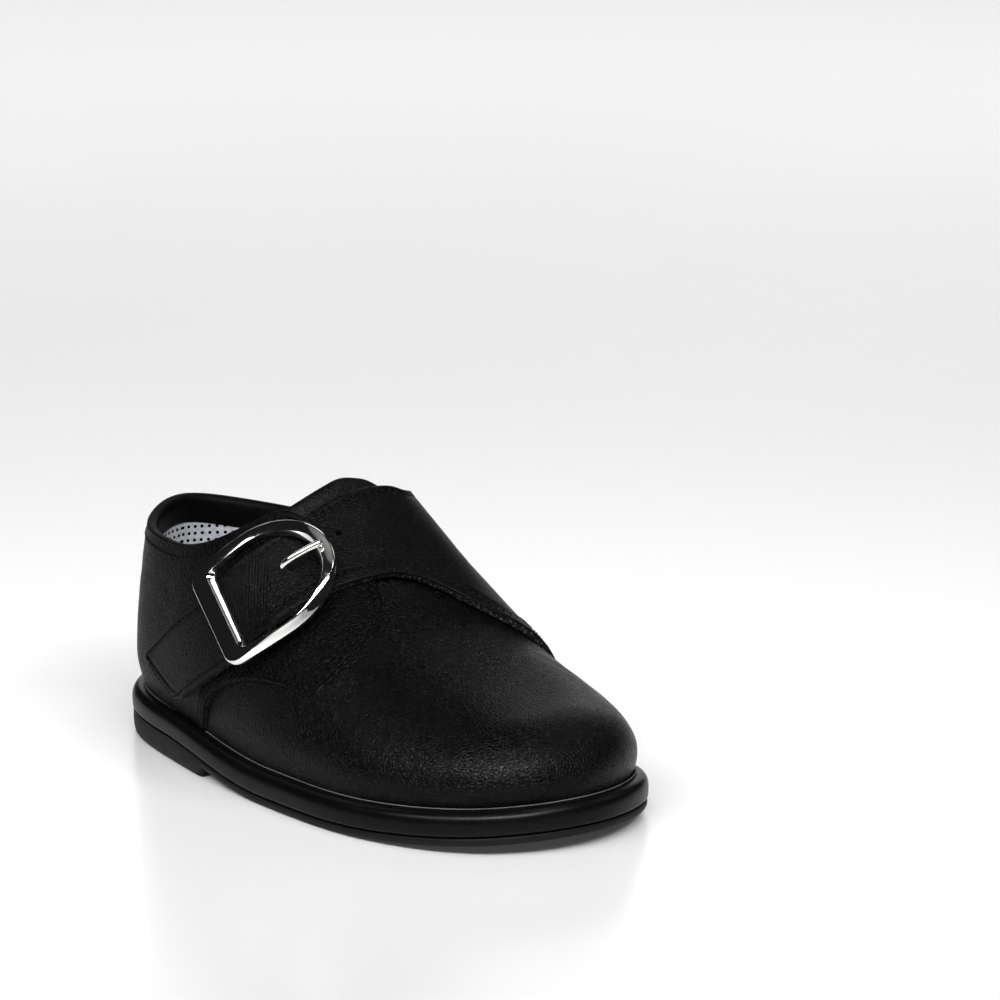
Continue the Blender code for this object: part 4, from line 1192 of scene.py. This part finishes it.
def make_holes(grid):
    """Punched holes of the strap: an eye painted dark as its shade, with a soft rim."""
    p, n, h, s, w, k, down = grid
    top, ups = (p + h[..., None] * n).reshape(-1, 3), n.reshape(-1, 3)
    ring = np.linspace(0, 2 * math.pi, 24, endpoint=False)
    points, faces, slots = [], [], []
    for x, girth in STRAP_HOLES:
        foot, up = skin(x, girth), skin_normal(x, girth)
        rel = top - foot
        off = rel - (rel @ up)[:, None] * up
        near = np.argsort(np.linalg.norm(off, axis=1))[:6]
        c = foot + up * float(np.mean((rel @ up)[near]))
        a = np.cross(up, (0, 0, 1.0))
        a /= np.linalg.norm(a)
        e = np.cross(up, a)
        base = len(points)
        for radius, z in ((1.0, -.08), (.86, .05), (.74, .07), (.62, .05)):
            points += list(c + z * up + radius * (np.cos(ring)[:, None] * a + np.sin(ring)[:, None] * e))
        new = [tuple(base + f) for f in quads(4, 24, wrap_cols=True)]
        faces += new + [tuple(base + 72 + j for j in range(24)), tuple(base + j for j in range(24))]
        slots += [0] * len(new) + [1, 0]
    return piece("strap_holes", np.array(points), faces, [STRAP_LEATHER, HOLE_SHADE], slots)


def make_stitches(grid, low):
    p, n, h, s, w, k, down = grid
    rows = range(0, k + down)
    runs = []
    # outer quarter: two rows along its front edge
    for d in (1.35, 2.75):
        c = beside(QUARTER_LINE[6:-14], d, 1)
        if np.mean(c[:, 1] - QUARTER_LINE[6:-14, 1]) < 0:
            c = beside(QUARTER_LINE[6:-14], d, -1)
        q = cast(c)
        height = keep_low(np.full(len(c), QUARTER_THICK - .1), q)
        height = .35 + (height - .35) * smooth((q[:, 0] + 24) / 9)
        runs.append(on_surface(c, height))
    stitch_row("quarter_stitches", runs, 1.7, 1.3, .38)
    tail = 70
    front = surface_row(grid, 2.7, True, range(tail, k + down - 3))
    tail_front = surface_row(grid, 1.6, True, range(8, tail))
    rear_tail = surface_row(grid, 1.6, False, range(8, tail))
    rear = surface_row(grid, 1.5, False, range(tail, k + 6))
    across = 8
    u = np.linspace(.12, .88, 30)
    surf = p + h[..., None] * n
    end = np.array([[np.interp(f * w[across], s[across], surf[across][:, c]) for c in range(3)] for f in u])
    end_n = np.array([[np.interp(f * w[across], s[across], n[across][:, c]) for c in range(3)] for f in u])
    stitch_row("strap_stitches", [front, tail_front, rear_tail, rear, (end, end_n)], 1.75, 1.35, .40)
    b = np.concatenate([np.linspace(-180, -36, 300)])
    c = collar_chart(b)
    c[:, 1] -= np.degrees(1.85 / np.linalg.norm(cast(c) - CENTRE, axis=1))
    run1 = on_surface(c, .38)
    c2 = collar_chart(np.linspace(52, 180, 300))
    c2[:, 1] -= np.degrees(1.85 / np.linalg.norm(cast(c2) - CENTRE, axis=1))
    stitch_row("collar_stitches", [run1, on_surface(c2, .40)], 1.75, 1.35, .36)
    # stitched box on the inner quarter
    corners = aim(skin(np.array(column(BAR_TACK, 0)), np.array(column(BAR_TACK, 1))))
    lines = [corners[[0, 1]], corners[[1, 2]], corners[[2, 3]], corners[[3, 0]], corners[[0, 2]], corners[[1, 3]]]
    runs = []
    for ln in lines:
        c = ln[0] + (ln[1] - ln[0]) * np.linspace(.04, .96, 24)[:, None]
        runs.append(on_surface(c, QUARTER_THICK + .22))
    stitch_row("bar_tack", runs, .95, .9, .55, .12)


# ------------------------------------------------------------------ build
make_sole()
make_upper()
_, LOW = make_quarter()
_, GRID = make_strap()
make_tongue()
make_collar()
make_lining()
make_buckle()
make_holes(GRID)
make_stitches(GRID, LOW)

# ------------------------------------------------------------------ floor, light and camera


def floor():
    """Pale floor that grows a little lighter all round with the distance from the shoe."""
    s = 4.0
    mesh = bpy.data.meshes.new("floor")
    mesh.from_pydata([(-s, -s, 0), (s, -s, 0), (s, s, 0), (-s, s, 0)], [], [(0, 1, 2, 3)])
    m, t, b = new_material("pale_floor", (.83, .83, .83), .20)
    v = in_mm(t)
    t.links.new(ramp(t, noise(t, v, .004, 2, .5), .3, .7, .245, .265), b.inputs["Roughness"])
    b.inputs["Specular IOR Level"].default_value = .75
    b.inputs["Emission Color"].default_value = (1, 1, 1, 1)
    way, far = node(t, "TexCoord"), node(t, "VectorMath", operation="LENGTH")
    t.links.new(way.outputs["Object"], far.inputs[0])
    t.links.new(ramp(t, far.outputs["Value"], .10, .85, POOL[0], POOL[1]), b.inputs["Emission Strength"])
    mesh.materials.append(m)
    ob = bpy.data.objects.new("floor", mesh)
    bpy.context.scene.collection.objects.link(ob)


POOL = .08, .50  # glow of the floor at the shoe and far from it


# studio boxes: name, azimuth and height in degrees, distance, size in metres, watts, spread in degrees
LIGHTS = [
    ("front_left", 258, 36, 1.2, (.50, .25), .13, 36),
    ("front_middle_left", 285, 40, 1.2, (.75, .30), .38, 36),
    ("front_middle_right", 315, 40, 1.2, (.75, .30), .52, 36),
    ("front_right", 345, 38, 1.2, (.75, .30), .52, 36),
    ("right_high", 15, 45, 1.2, (.60, .40), .20, 36),
    ("back_wall", 138, 12, 1.3, (1.0, .46), 1.6, 180),
    ("back_high", 126, 41, 1.3, (.50, .30), .12, 60),
    ("top_right", 42, 70, 1.3, (.32, .32), .05, 36),
    ("top_front", 300, 75, 1.2, (.60, .60), .03, 50),
    ("inner_fill", 78, 34, 1.3, (.60, .50), .09, 60),
    ("rear_fill", 192, 46, 1.3, (.60, .50), .08, 60),
]


def softbox(name, azimuth, height, distance, size, power, spread, at=(0.0, 0.0, 0.02)):
    light = bpy.data.lights.new(name, "AREA")
    light.shape, light.size, light.size_y, light.energy = "RECTANGLE", size[0], size[1], power
    light.spread = math.radians(spread)
    ob = bpy.data.objects.new(name, light)
    a, h = math.radians(azimuth), math.radians(height)
    d = Vector((math.cos(a) * math.cos(h), math.sin(a) * math.cos(h), math.sin(h)))
    ob.location = Vector(at) + d * distance
    ob.rotation_euler = d.to_track_quat("Z", "Y").to_euler()
    bpy.context.scene.collection.objects.link(ob)
    return ob


def world():
    w = bpy.data.worlds.new("studio")
    bpy.context.scene.world = w
    w.use_nodes = True
    bg = w.node_tree.nodes["Background"]
    bg.inputs["Color"].default_value = (1.0, 1.0, 1.0, 1.0)
    bg.inputs["Strength"].default_value = .025


def camera():
    az, el = math.radians(52.654), math.radians(13.339)
    fwd = Vector((-math.sin(az) * math.cos(el), math.cos(az) * math.cos(el), -math.sin(el)))
    right = Vector((math.cos(az), math.sin(az), 0))
    up = right.cross(fwd)
    cam = bpy.data.cameras.new("camera")
    cam.sensor_width, cam.lens = 36.0, 7894.62 / 1000 * 36.0
    cam.clip_start, cam.clip_end = .05, 50
    ob = bpy.data.objects.new("camera", cam)
    bpy.context.scene.collection.objects.link(ob)
    place = (np.array([1243.951, -916.931, 423.278]) + SHIFT) * MM
    rot = Matrix((right, up, -fwd)).transposed()
    ob.matrix_world = Matrix.Translation(Vector(place)) @ rot.to_4x4()
    bpy.context.scene.camera = ob


floor()
world()
camera()
for light in LIGHTS:
    softbox(*light)
bpy.context.scene.view_settings.view_transform = "Standard"
bpy.context.scene.view_settings.gamma = .80
